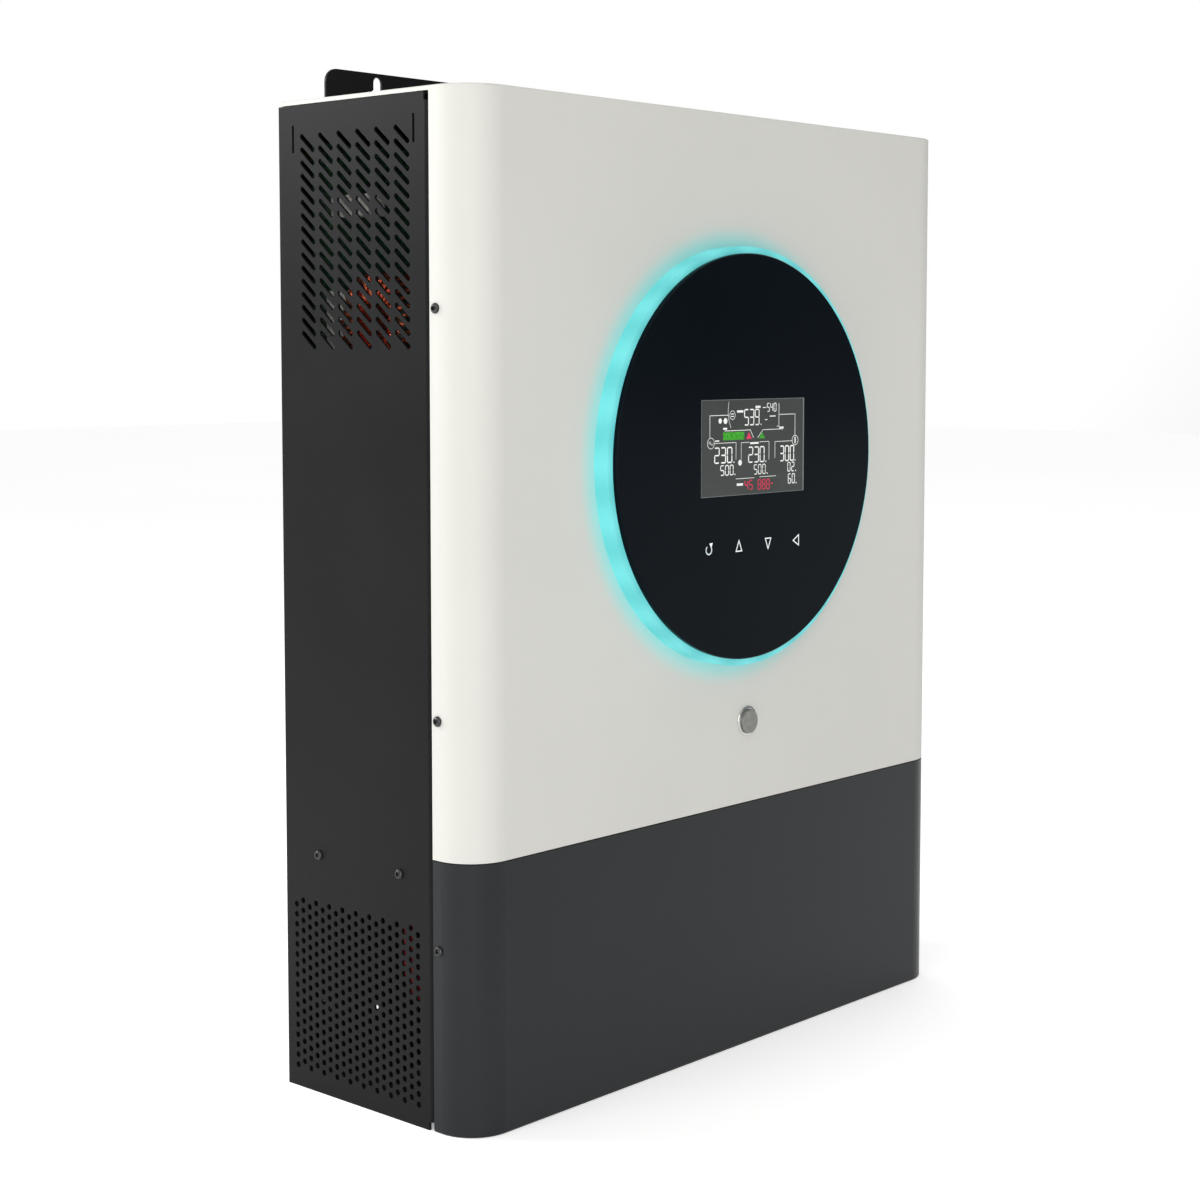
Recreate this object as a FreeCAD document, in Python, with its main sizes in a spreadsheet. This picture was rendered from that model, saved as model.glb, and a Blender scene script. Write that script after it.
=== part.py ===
import FreeCAD, Part

import math
import os
import re

import Sketcher
from FreeCAD import Placement, Rotation, Vector

# A wall-hung hybrid inverter: a black sheet-steel chassis with vented sides, an
# off-white front cover and a charcoal lower cover, a round glass display on a
# lit ring, a metal push button, and inside a fan shelf, a power board with its
# heatsinks and coils, and a wiring compartment.
#
# Frame: millimetres, +Z up, the front faces -Y, +X is to the right seen from
# the front.  The origin is the centre of the body's back face, on the wall.

# ---------------------------------------------------------------------------
# Driving sizes
# ---------------------------------------------------------------------------
SIZES = {
    # Body and covers
    "body_width": 432.5,
    "body_height": 553.6,
    "body_depth": 150.0,
    "cover_depth": 30.0,
    "cover_wall": 2.5,
    "cover_corner": 24.0,
    "cover_edge": 1.2,
    "lower_height": 147.5,
    "seam_gap": 0.6,
    "top_gap": 0.4,
    # Sheet steel
    "sheet_gauge": 1.5,
    "sheet_gap": 0.2,
    "cover_gap": 0.7,
    "lip_depth": 12.0,
    "side_lip": 9.0,
    "bend_radius": 2.4,
    "floor_rise": 4.0,
    "relief_depth": 3.0,
    "relief_height": 4.5,
    # Wall flange and keyholes
    "flange_width": 366.0,
    "flange_rise": 22.0,
    "flange_corner": 8.0,
    "keyhole_spacing": 288.0,
    "keyhole_rise": 7.6,
    "keyhole_radius": 6.0,
    "keyhole_slot": 6.5,
    "keyhole_travel": 9.0,
    "fixing_spacing": 300.0,
    "fixing_height": 30.0,
    "fixing_radius": 3.25,
    # Slanted vent slots, measured from the wall and from the body's foot
    "slot_columns": 6.0,
    "slot_rows": 16.0,
    "slot_pitch_depth": 15.1,
    "slot_pitch_height": 7.15,
    "slot_first_depth": 19.3,
    "slot_first_height": 533.6,
    "slot_run": 9.2,
    "slot_fall": 7.6,
    "slot_radius": 1.4,
    "slit_height": 525.0,
    "slit_length": 15.0,
    "slit_width": 1.6,
    "slit_back": 12.0,
    "slit_front": 108.6,
    # Round vent holes
    "hole_columns": 10.0,
    "hole_rows": 17.0,
    "hole_pitch_depth": 5.54,
    "hole_pitch_height": 5.8,
    "hole_first_depth": 8.4,
    "hole_first_height": 12.2,
    "hole_radius": 1.7,
    # Screws on the outside
    "cover_screw_inset": 25.5,
    "cover_screw_top": 438.7,
    "cover_screw_middle": 222.3,
    "cover_screw_low": 99.2,
    "screw_radius": 1.5,
    "screw_head_radius": 2.8,
    "screw_head_height": 1.8,
    "screw_hole_gap": 0.2,
    "screw_length": 8.0,
    "bracket_height": 16.0,
    "bracket_reach": 9.0,
    # Fan shelf and fans
    "shelf_height": 145.0,
    "shelf_lip": 18.0,
    "shelf_screw_back": 28.0,
    "shelf_screw_front": 94.0,
    "fan_size": 80.0,
    "fan_thickness": 25.0,
    "fan_pitch": 110.0,
    "fan_centre": 61.0,
    "fan_throat": 38.5,
    "fan_hub": 17.0,
    "fan_tip": 36.8,
    "fan_screw_pitch": 71.5,
    "fan_screw_radius": 2.0,
    "shaft_radius": 1.5,
    "bearing_gap": 0.05,
    "bearing_radius": 4.0,
    "cable_slot_width": 30.0,
    "cable_slot_depth": 34.0,
    "cable_slot_centre": 178.0,
    # Display
    "display_height": 354.9,
    "display_radius": 118.0,
    "display_standoff": 10.0,
    "lens_thickness": 3.0,
    "ring_radius": 122.0,
    "ring_inner": 105.2,
    "ring_wall": 2.0,
    "carrier_radius": 104.4,
    "carrier_gap": 0.4,
    "carrier_wall": 2.5,
    "carrier_depth": 14.0,
    "carrier_rim": 8.0,
    "carrier_flange": 2.0,
    "window_width": 101.0,
    "window_height": 60.0,
    "window_rise": 6.0,
    "lcd_thickness": 5.0,
    "board_thickness": 1.6,
    "touch_height": 303.4,
    "touch_pitch": 27.5,
    # Push button
    "button_offset": 13.3,
    "button_height": 196.6,
    "button_collar": 9.0,
    "button_radius": 7.2,
    "button_gap": 0.08,
    "button_proud": 2.9,
    "collar_proud": 1.0,
    "button_travel": 1.6,
    "thread_radius": 8.0,
    "button_barrel": 16.0,
    # Power section
    "board_standoff": 10.0,
    "power_board_width": 404.0,
    "power_board_height": 372.0,
    "power_board_foot": 160.0,
    "board_screw_inset": 4.5,
    "heatsink_width": 70.0,
    "heatsink_depth": 66.0,
    "heatsink_height": 210.0,
    "heatsink_rise": 16.0,
    "heatsink_fins": 9.0,
    "heatsink_base": 7.0,
    "fin_thickness": 1.8,
    "coil_radius": 25.0,
    "coil_bore": 14.0,
    "coil_width": 24.0,
    "coil_offset": 184.0,
    "coil_height": 432.0,
    "coil_pitch": 84.0,
    "plug_height": 497.0,
    "plug_reach": 31.0,
    "plug_size": 12.0,
    "coil_cradle": 12.0,
    "main_can_radius": 15.0,
    "main_can_height": 50.0,
    "small_can_radius": 8.0,
    "small_can_height": 32.0,
    "small_can_rise": 22.0,
    "control_width": 170.0,
    "control_height": 110.0,
    "control_foot": 262.0,
    # Wiring compartment
    "battery_entry": 9.0,
    "mains_entry": 8.0,
    "panel_entry": 5.0,
    "entry_depth": 62.0,
    "grommet_lip": 3.0,
    "grommet_lip_height": 2.0,
    "terminal_foot": 44.0,
    "terminal_plate_height": 66.0,
    "terminal_plate_width": 250.0,
    "terminal_plate_stand": 20.0,
    "battery_stud": 4.0,
    "battery_stud_length": 26.0,
    "lug_thickness": 2.0,
    "lug_reach": 14.0,
    "lug_barrel": 14.0,
    "earth_stud": 3.0,
    "cable_radius": 4.5,
    "mains_wire": 1.9,
    "fan_lead": 1.4,
    "display_lead": 2.5,
    "button_lead": 1.5,
}

doc = FreeCAD.newDocument("WallInverter")
sheet = doc.addObject("Spreadsheet::Sheet", "Sizes")
for row, (alias, value) in enumerate(SIZES.items(), 1):
    sheet.set(f"A{row}", alias)
    sheet.set(f"B{row}", str(value))
    sheet.setAlias(f"B{row}", alias)
doc.recompute()

# Heights are given from the body's foot; the frame's origin is half way up.
FOOT = "(-body_height / 2)"
# Outlines of the sheet-steel chassis
PANEL_TOP = "(body_height / 2 - cover_wall - top_gap)"
PANEL_FRONT = "(body_depth - cover_depth - cover_gap)"
REAR_HALF = "(body_width / 2 - sheet_gauge - sheet_gap)"
INNER_HALF = "(body_width / 2 - 2 * sheet_gauge - 2 * sheet_gap)"
INNER_BACK = "(sheet_gauge + sheet_gap)"
INNER_FRONT = f"({PANEL_FRONT} - sheet_gauge - sheet_gap)"
SHELF_Z = f"({FOOT} + shelf_height)"
FAN_TOP = f"({SHELF_Z} + fan_thickness)"
HEATSINK_FOOT = f"({FAN_TOP} + heatsink_rise)"
BOARD_FRONT = "(sheet_gauge + board_standoff + board_thickness)"
DISPLAY_Z = f"({FOOT} + display_height)"
BUTTON_Z = f"({FOOT} + button_height)"
NODES = {}
SETS = {}


# ---------------------------------------------------------------------------
# Ways of making a piece
# ---------------------------------------------------------------------------
def bind(item, formulas):
    """Tie properties to formulas written in the sheet's own words."""
    for prop, formula in formulas.items():
        text = re.sub(r"[a-z]\w*", lambda m: "Sizes." + m[0] if m[0] in SIZES else m[0], str(formula))
        item.setExpression(prop, text)
    return item


def put(item, x="0", y="0", z="0"):
    """Place an item at formulas for X, Y and Z."""
    return bind(item, {"Placement.Base.x": x, "Placement.Base.y": y, "Placement.Base.z": z})


def node(item, name):
    """Keep an item as a sub-part of the object under its own name."""
    item.Label = name
    NODES[name] = item
    return item


def box(x, y, z, width, depth, height):
    """A block from its lowest corner and its size."""
    item = doc.addObject("Part::Box", "Block")
    put(item, x, y, z)
    return bind(item, {"Length": width, "Width": depth, "Height": height})


def rod(axis, x, y, z, radius, length):
    """A round bar that starts at a point and runs along +X, -Y, or +Z."""
    item = doc.addObject("Part::Cylinder", "Rod")
    turns = {
        "X": Rotation(Vector(0, 1, 0), 90),
        "-Y": Rotation(Vector(1, 0, 0), 90),
        "Z": Rotation(),
    }
    item.Placement = Placement(Vector(), turns[axis])
    put(item, x, y, z)
    return bind(item, {"Radius": radius, "Height": length})


def hexagon(axis, x, y, z, across_flats, length):
    """A six-sided bar, for nuts and standoffs."""
    item = doc.addObject("Part::Prism", "Hexagon")
    turns = {"-Y": Rotation(Vector(1, 0, 0), 90), "Z": Rotation()}
    item.Placement = Placement(Vector(), turns[axis])
    item.Polygon = 6
    put(item, x, y, z)
    return bind(item, {"Circumradius": f"({across_flats}) / sqrt(3)", "Height": length})


def fuse(*pieces):
    item = doc.addObject("Part::MultiFuse", "Join")
    item.Shapes = list(pieces)
    return item


def cluster(*pieces):
    """Separate solids that are kept together, such as a set of screws."""
    item = doc.addObject("Part::Compound", "Set")
    item.Links = list(pieces)
    return item


def keep_in(name, *pieces):
    """Add solids to a named set of like pieces that becomes one sub-part."""
    SETS.setdefault(name, []).extend(pieces)


def cut(base, *tools):
    item = doc.addObject("Part::Cut", "Cut")
    item.Base = base
    item.Tool = tools[0] if len(tools) == 1 else cluster(*tools)
    return item


def mirrored(source):
    """The same piece on the other side of the middle plane."""
    item = doc.addObject("Part::Mirroring", "Mirror")
    item.Source = source
    item.Normal = Vector(1, 0, 0)
    return item


def loose_body(name):
    return doc.addObject("PartDesign::Body", name)


def new_body(name):
    return node(loose_body(name), name)


def sketch_on(body, role, offset="0"):
    """A sketch on one of the body's own origin planes, moved along its normal."""
    sketch = body.newObject("Sketcher::SketchObject", "Sketch")
    plane = [item for item in body.Origin.OriginFeatures if item.Role == role][0]
    sketch.AttachmentSupport = [(plane, "")]
    sketch.MapMode = "FlatFace"
    return bind(sketch, {"AttachmentOffset.Base.z": offset})


def pin_point(sketch, geometry, point, across, up):
    """Fix a point of a sketch at two formulas from the sketch's origin."""
    for kind, formula in (("DistanceX", across), ("DistanceY", up)):
        index = sketch.addConstraint(Sketcher.Constraint(kind, -1, 1, geometry, point, 1.0))
        bind(sketch, {f"Constraints[{index}]": formula})


def polygon(sketch, points):
    """A closed outline of straight lines through points given as formulas."""
    first = sketch.GeometryCount
    count = len(points)
    start = [Vector(math.cos(6.283 * i / count), math.sin(6.283 * i / count), 0) for i in range(count)]
    for i in range(count):
        sketch.addGeometry(Part.LineSegment(start[i], start[(i + 1) % count]), False)
    for i in range(count):
        joined = first + (i + 1) % count
        sketch.addConstraint(Sketcher.Constraint("Coincident", first + i, 2, joined, 1))
    for i, (across, up) in enumerate(points):
        pin_point(sketch, first + i, 1, across, up)
    return sketch


def rectangle(sketch, left, low, right, high):
    return polygon(sketch, [(left, low), (right, low), (right, high), (left, high)])


def circle(sketch, across, up, radius):
    index = sketch.addGeometry(Part.Circle(Vector(1, 1, 0), Vector(0, 0, 1), 1.0), False)
    pin_point(sketch, index, 3, across, up)
    rule = sketch.addConstraint(Sketcher.Constraint("Radius", index, 1.0))
    bind(sketch, {f"Constraints[{rule}]": radius})
    return sketch


def pad(body, sketch, length, midplane=False):
    doc.recompute()
    feature = body.newObject("PartDesign::Pad", "Pad")
    feature.Profile = sketch
    feature.Midplane = midplane
    bind(feature, {"Length": length})
    body.Tip = feature
    doc.recompute()
    return feature


def pocket(body, sketch):
    """Cut a sketch through everything on both sides of it."""
    before = body.Shape.Volume
    doc.recompute()
    feature = body.newObject("PartDesign::Pocket", "Pocket")
    feature.Profile = sketch
    feature.Type = 1
    feature.Midplane = True
    body.Tip = feature
    doc.recompute()
    if body.Shape.Volume >= before:
        raise ValueError(f"{body.Label}: a pocket removed nothing")
    return feature


def grid(body, cuts, sketch, rows, row_pitch, columns, column_pitch):
    """Repeat cuts upwards and towards the front."""
    pattern = body.newObject("PartDesign::MultiTransform", "Grid")
    pattern.Originals = cuts
    steps = []
    for axis, count, pitch in (("V_Axis", rows, row_pitch), ("H_Axis", columns, column_pitch)):
        step = body.newObject("PartDesign::LinearPattern", "Pattern")
        step.Direction = (sketch, [axis])
        bind(step, {"Occurrences": count, "Length": f"(({count}) - 1) * {pitch}"})
        steps.append(step)
    steps[1].Reversed = True
    pattern.Transformations = steps
    body.Tip = pattern
    doc.recompute()
    return pattern


def fillet(body, chosen, radius):
    """Round the edges of the body's last feature that a test picks out."""
    base = body.Tip
    names = [f"Edge{i}" for i, edge in enumerate(base.Shape.Edges, 1) if chosen(edge.BoundBox)]
    feature = body.newObject("PartDesign::Fillet", "Fillet")
    feature.Base = (base, names)
    bind(feature, {"Radius": radius})
    body.Tip = feature
    doc.recompute()
    return feature


def shell(body, opened, wall):
    """Hollow the body's last feature inwards, leaving some faces open."""
    base = body.Tip
    names = [f"Face{i}" for i, face in enumerate(base.Shape.Faces, 1) if opened(face.BoundBox)]
    feature = body.newObject("PartDesign::Thickness", "Shell")
    feature.Base = (base, names)
    feature.Reversed = True
    bind(feature, {"Value": wall})
    body.Tip = feature
    doc.recompute()
    return feature


def turned(body, profile, x, z):
    """A piece turned about an axis along Y; the profile is (radius, y)."""
    sketch = polygon(sketch_on(body, "XY_Plane"), profile)
    doc.recompute()
    feature = body.newObject("PartDesign::Revolution", "Revolution")
    feature.Profile = sketch
    feature.ReferenceAxis = (sketch, ["V_Axis"])
    feature.Angle = 360
    body.Tip = feature
    put(body, x, "0", z)
    doc.recompute()
    return body


# ---------------------------------------------------------------------------
# Chassis
# ---------------------------------------------------------------------------
def make_rear_panel():
    """Back sheet with the wall flange, its keyholes, and side lips."""
    body = new_body("rear_panel")
    top = "(body_height / 2 + flange_rise)"
    flange = "flange_width / 2"
    outline = [
        (f"-{REAR_HALF}", FOOT),
        (REAR_HALF, FOOT),
        (REAR_HALF, PANEL_TOP),
        (flange, PANEL_TOP),
        (flange, top),
        (f"-{flange}", top),
        (f"-{flange}", PANEL_TOP),
        (f"-{REAR_HALF}", PANEL_TOP),
    ]
    pad(body, polygon(sketch_on(body, "XZ_Plane"), outline), "sheet_gauge")
    fillet(body, lambda b: b.YLength > 1 and b.ZMin > SIZES["body_height"] / 2 + 10, "flange_corner")
    for side in (-1, 1):
        lip = sketch_on(body, "XY_Plane", FOOT)
        edges = (f"{side} * {REAR_HALF}", f"{side} * ({REAR_HALF} - sheet_gauge)")
        rectangle(lip, edges[0], "-lip_depth", edges[1], "-sheet_gauge")
        pad(body, lip, f"{PANEL_TOP} - {FOOT}")
    hole_z = "(body_height / 2 + keyhole_rise)"
    rounds = sketch_on(body, "XZ_Plane")
    slots = sketch_on(body, "XZ_Plane")
    slot_ends = sketch_on(body, "XZ_Plane")
    for side in (-1, 1):
        x = f"{side} * keyhole_spacing / 2"
        circle(rounds, x, hole_z, "keyhole_radius")
        circle(rounds, f"{side} * fixing_spacing / 2", f"{FOOT} + fixing_height", "fixing_radius")
        circle(slot_ends, x, f"{hole_z} + keyhole_travel", "keyhole_slot / 2")
        edges = (f"{x} - keyhole_slot / 2", f"{x} + keyhole_slot / 2")
        rectangle(slots, edges[0], hole_z, edges[1], f"{hole_z} + keyhole_travel")
    pocket(body, rounds)
    pocket(body, slots)
    pocket(body, slot_ends)


def make_side_panels():
    """Vented side sheet with a front lip; the right one mirrors the left."""
    body = new_body("left_side_panel")
    outer = "-body_width / 2"
    inner = f"({outer} + sheet_gauge)"
    lip_end = f"({outer} + sheet_gauge + side_lip)"
    profile = [
        (outer, "0"),
        (outer, f"-{PANEL_FRONT}"),
        (lip_end, f"-{PANEL_FRONT}"),
        (lip_end, f"-{PANEL_FRONT} + sheet_gauge"),
        (inner, f"-{PANEL_FRONT} + sheet_gauge"),
        (inner, "0"),
    ]
    pad(body, polygon(sketch_on(body, "XY_Plane", FOOT), profile), f"{PANEL_TOP} - {FOOT}")
    bend = -SIZES["body_width"] / 2
    fillet(body, lambda b: b.ZLength > 99 and b.XMax < bend + 0.1 and b.YMax < -50, "bend_radius")

    slot = sketch_on(body, "YZ_Plane")
    slot_ends = sketch_on(body, "YZ_Plane")
    lowest = f"({FOOT} + slot_first_height - (slot_rows - 1) * slot_pitch_height)"
    slant = "sqrt(slot_run * slot_run + slot_fall * slot_fall)"
    across = f"slot_radius * slot_fall / {slant}"
    up = f"slot_radius * slot_run / {slant}"
    low_end = ("(-slot_first_depth - slot_run)", f"({lowest} - slot_fall)")
    polygon(slot, [
        (f"-slot_first_depth - {across}", f"{lowest} + {up}"),
        (f"{low_end[0]} - {across}", f"{low_end[1]} + {up}"),
        (f"{low_end[0]} + {across}", f"{low_end[1]} - {up}"),
        (f"-slot_first_depth + {across}", f"{lowest} - {up}"),
    ])
    circle(slot_ends, "-slot_first_depth", lowest, "slot_radius")
    circle(slot_ends, *low_end, "slot_radius")
    first = [pocket(body, slot), pocket(body, slot_ends)]
    grid(body, first, slot, "slot_rows", "slot_pitch_height", "slot_columns", "slot_pitch_depth")
    for depth, rise in (("0", "0"), ("hole_pitch_depth", "hole_pitch_height / 2")):
        hole = sketch_on(body, "YZ_Plane")
        circle(hole, f"-hole_first_depth - {depth}", f"{FOOT} + hole_first_height + {rise}", "hole_radius")
        columns = "hole_columns" if depth == "0" else "hole_columns - 1"
        grid(body, [pocket(body, hole)], hole, "hole_rows", "hole_pitch_height", columns, "2 * hole_pitch_depth")

    details = sketch_on(body, "YZ_Plane")
    for depth in ("slit_back", "slit_front"):
        edges = (f"-{depth} - slit_width / 2", f"-{depth} + slit_width / 2")
        rectangle(details, edges[0], f"{FOOT} + slit_height", edges[1], f"{FOOT} + slit_height + slit_length")
    for depth in ("shelf_screw_back", "shelf_screw_front"):
        circle(details, f"-{depth}", f"{SHELF_Z} - shelf_lip / 2", "screw_radius + screw_hole_gap")
    pocket(body, details)
    reliefs = sketch_on(body, "YZ_Plane")
    front = (f"-{PANEL_FRONT} - 1", f"-{PANEL_FRONT} + relief_depth")
    rectangle(reliefs, front[0], f"{PANEL_TOP} - relief_height", front[1], f"{PANEL_TOP} + 1")
    rectangle(reliefs, front[0], f"{FOOT} - 1", front[1], f"{FOOT} + relief_height")
    pocket(body, reliefs)
    node(mirrored(body), "right_side_panel")


def cross_panel(name, base, lip_height):
    """A level sheet between the side panels, with a bent lip on all four sides.

    base is the height of the sheet's face that the lips leave from; a positive
    lip height turns them up, a negative one down.
    """
    body = new_body(name)
    step = "(lip_depth + sheet_gap)"
    outline = [
        (f"-{INNER_HALF}", f"-{INNER_BACK}"),
        (f"-{INNER_HALF}", f"-{step}"),
        (f"-{REAR_HALF}", f"-{step}"),
        (f"-{REAR_HALF}", f"-{INNER_FRONT}"),
        (REAR_HALF, f"-{INNER_FRONT}"),
        (REAR_HALF, f"-{step}"),
        (INNER_HALF, f"-{step}"),
        (INNER_HALF, f"-{INNER_BACK}"),
    ]
    down = lip_height.startswith("-")
    sheet_low = base if down else f"{base} - sheet_gauge"
    pad(body, polygon(sketch_on(body, "XY_Plane", sheet_low), outline), "sheet_gauge")
    lip_low = f"{base} + {lip_height}" if down else base
    height = lip_height[1:] if down else lip_height
    lips = sketch_on(body, "XY_Plane", lip_low)
    span = f"({INNER_HALF} - 1)"
    rectangle(lips, f"-{span}", f"-{INNER_BACK} - sheet_gauge", span, f"-{INNER_BACK}")
    pad(body, lips, height)
    front = sketch_on(body, "XY_Plane", lip_low)
    span = f"({REAR_HALF} - sheet_gauge - sheet_gap)"
    rectangle(front, f"-{span}", f"-{INNER_FRONT}", span, f"-{INNER_FRONT} + sheet_gauge")
    pad(body, front, height)
    for side in (-1, 1):
        lip = sketch_on(body, "XY_Plane", lip_low)
        edges = (f"{side} * {REAR_HALF}", f"{side} * ({REAR_HALF} - sheet_gauge)")
        rectangle(lip, edges[0], f"-{INNER_FRONT} + 2 * sheet_gauge", edges[1], f"-{step} - 1")
        pad(body, lip, height)
    return body


def make_cross_panels():
    """Top sheet under the cover, bottom sheet with the cable entries, fan shelf."""
    cross_panel("top_panel", f"{PANEL_TOP} - sheet_gauge", "-lip_depth")

    bottom = cross_panel("bottom_panel", f"{FOOT} + floor_rise + sheet_gauge", "lip_depth")
    entries = sketch_on(bottom, "XY_Plane")
    for x, radius in ENTRIES:
        circle(entries, str(x), "-entry_depth", f"{radius} + grommet_lip")
    for x, y, width, depth in PORT_CUTOUTS:
        rectangle(entries, f"{x - width / 2}", f"{y - depth / 2}", f"{x + width / 2}", f"{y + depth / 2}")
    pocket(bottom, entries)

    shelf = cross_panel("fan_shelf", f"{SHELF_Z} - sheet_gauge", "-shelf_lip")
    throats = sketch_on(shelf, "XY_Plane")
    for column in (-1, 0, 1):
        x = f"{column} * fan_pitch"
        circle(throats, x, "-fan_centre", "fan_throat")
        for sx in (-1, 1):
            for sy in (-1, 1):
                spot = (f"{x} + {sx} * fan_screw_pitch / 2", f"-fan_centre + {sy} * fan_screw_pitch / 2")
                circle(throats, *spot, "fan_screw_radius")
    for side in (-1, 1):
        middle = f"{side} * cable_slot_centre"
        left = f"{middle} - cable_slot_width / 2"
        right = f"{middle} + cable_slot_width / 2"
        rectangle(throats, left, "-fan_centre - cable_slot_depth / 2", right, "-fan_centre + cable_slot_depth / 2")
    pocket(shelf, throats)
    screws = sketch_on(shelf, "YZ_Plane")
    for depth in ("shelf_screw_back", "shelf_screw_front"):
        circle(screws, f"-{depth}", f"{SHELF_Z} - shelf_lip / 2", "screw_radius")
    pocket(shelf, screws)


# Cable entries in the bottom sheet: X and the entry's radius
ENTRIES = [
    (-168, "battery_entry"),
    (-122, "battery_entry"),
    (-62, "mains_entry"),
    (-14, "mains_entry"),
    (30, "panel_entry"),
    (66, "panel_entry"),
]
# Openings for the data sockets: X, Y, width and depth
PORT_CUTOUTS = [(112, -62.0, 17.0, 15.0), (136, -62.0, 17.0, 15.0), (160, -60.75, 13.0, 12.5)]


# ---------------------------------------------------------------------------
# Covers
# ---------------------------------------------------------------------------
def cover_shell(name, low, high, open_high):
    """Front cover shell with round upright corners, open at the back."""
    body = new_body(name)
    block = sketch_on(body, "XY_Plane", low)
    half = "body_width / 2"
    rectangle(block, f"-{half}", "-body_depth", half, "-body_depth + cover_depth")
    pad(body, block, f"{high} - ({low})")
    front = -SIZES["body_depth"] + 0.1
    fillet(body, lambda b: b.ZLength > 99 and b.YMax < front, "cover_corner")
    shape = body.Shape.BoundBox
    back = shape.YMax - 0.01
    opened = shape.ZMax if open_high else shape.ZMin

    def is_open(b):
        at_back = b.YLength < 0.01 and b.YMin > back
        at_seam = b.ZLength < 0.01 and abs(b.ZMax - opened) < 0.01
        return at_back or at_seam

    shell(body, is_open, "cover_wall")
    return body


def soften(body, level):
    """Round the outer edge of a cover's closed end."""
    half = SIZES["body_width"] / 2
    front = -SIZES["body_depth"]

    def is_outer(b):
        flat = b.ZLength < 0.01 and abs(b.ZMax - level) < 0.01
        outside = abs(b.XMin + half) < 0.01 or abs(b.XMax - half) < 0.01 or abs(b.YMin - front) < 0.01
        return flat and outside

    fillet(body, is_outer, "cover_edge")


def side_holes(body, heights):
    """Screw holes in both side returns of a cover."""
    holes = sketch_on(body, "YZ_Plane")
    for height in heights:
        circle(holes, "-body_depth + cover_screw_inset", f"{FOOT} + {height}", "screw_radius + screw_hole_gap")
    pocket(body, holes)


def make_covers():
    front = cover_shell("front_cover", f"{FOOT} + lower_height + seam_gap / 2", "body_height / 2", False)
    roof = sketch_on(front, "XY_Plane", "body_height / 2 - cover_wall")
    half = "body_width / 2"
    rectangle(roof, f"-{half}", "-body_depth + cover_depth", half, "-sheet_gauge - sheet_gap")
    pad(front, roof, "cover_wall")
    soften(front, SIZES["body_height"] / 2)
    openings = sketch_on(front, "XZ_Plane")
    circle(openings, "0", DISPLAY_Z, "carrier_radius + carrier_gap")
    circle(openings, "button_offset", BUTTON_Z, "thread_radius + screw_hole_gap")
    pocket(front, openings)
    pocket(front, carrier_holes(front, "screw_radius"))
    side_holes(front, ("cover_screw_top", "cover_screw_middle"))

    lower = cover_shell("lower_cover", FOOT, f"{FOOT} + lower_height - seam_gap / 2", True)
    soften(lower, -SIZES["body_height"] / 2)
    side_holes(lower, ("cover_screw_low",))


def make_cover_brackets():
    """Small angle brackets on the side panels' front lips that take the cover screws."""
    pieces = []
    for side in (-1, 1):
        for height in ("cover_screw_top", "cover_screw_middle", "cover_screw_low"):
            z = f"{FOOT} + {height} - bracket_height / 2"
            outer = "(body_width / 2 - cover_wall - sheet_gap)"
            low = f"-{outer}" if side < 0 else f"{outer} - sheet_gauge"
            foot_low = f"-{outer}" if side < 0 else f"{outer} - side_lip"
            front = f"-{PANEL_FRONT} - bracket_reach"
            leg = box(low, front, z, "sheet_gauge", "bracket_reach", "bracket_height")
            foot = box(foot_low, f"-{PANEL_FRONT} - sheet_gauge", z, "side_lip", "sheet_gauge", "bracket_height")
            hole = rod("X", f"{low} - 1", "-body_depth + cover_screw_inset", f"{FOOT} + {height}",
                       "screw_radius", "sheet_gauge + 2")
            pieces.append(cut(fuse(leg, foot), hole))
    node(cluster(*pieces), "cover_brackets")


def side_screw(side, y, z):
    """A pan-head screw through a side face, its head outside."""
    head_low = "-body_width / 2 - screw_head_height" if side < 0 else "body_width / 2"
    shank_low = "-body_width / 2" if side < 0 else "body_width / 2 - screw_length"
    head = rod("X", head_low, y, z, "screw_head_radius", "screw_head_height")
    shank = rod("X", shank_low, y, z, "screw_radius", "screw_length")
    return fuse(head, shank)


def make_side_screws():
    """The black screws of the covers and of the fan shelf, all of one kind."""
    for side in (-1, 1):
        for height in ("cover_screw_top", "cover_screw_middle", "cover_screw_low"):
            screw = side_screw(side, "-body_depth + cover_screw_inset", f"{FOOT} + {height}")
            keep_in("case_screws", screw)
        for depth in ("shelf_screw_back", "shelf_screw_front"):
            keep_in("case_screws", side_screw(side, f"-{depth}", f"{SHELF_Z} - shelf_lip / 2"))


# ---------------------------------------------------------------------------
# Display
# ---------------------------------------------------------------------------
LENS_BACK = "(body_depth + display_standoff)"


def carrier_spots():
    """Places of the six screws that hold the display carrier behind the cover."""
    radius = "(carrier_radius + carrier_rim / 2)"
    return [(f"{radius} * cos({60 * i} deg)", f"{DISPLAY_Z} + {radius} * sin({60 * i} deg)") for i in range(6)]


def carrier_holes(body, radius):
    holes = sketch_on(body, "XZ_Plane")
    for x, z in carrier_spots():
        circle(holes, x, z, radius)
    return holes


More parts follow.
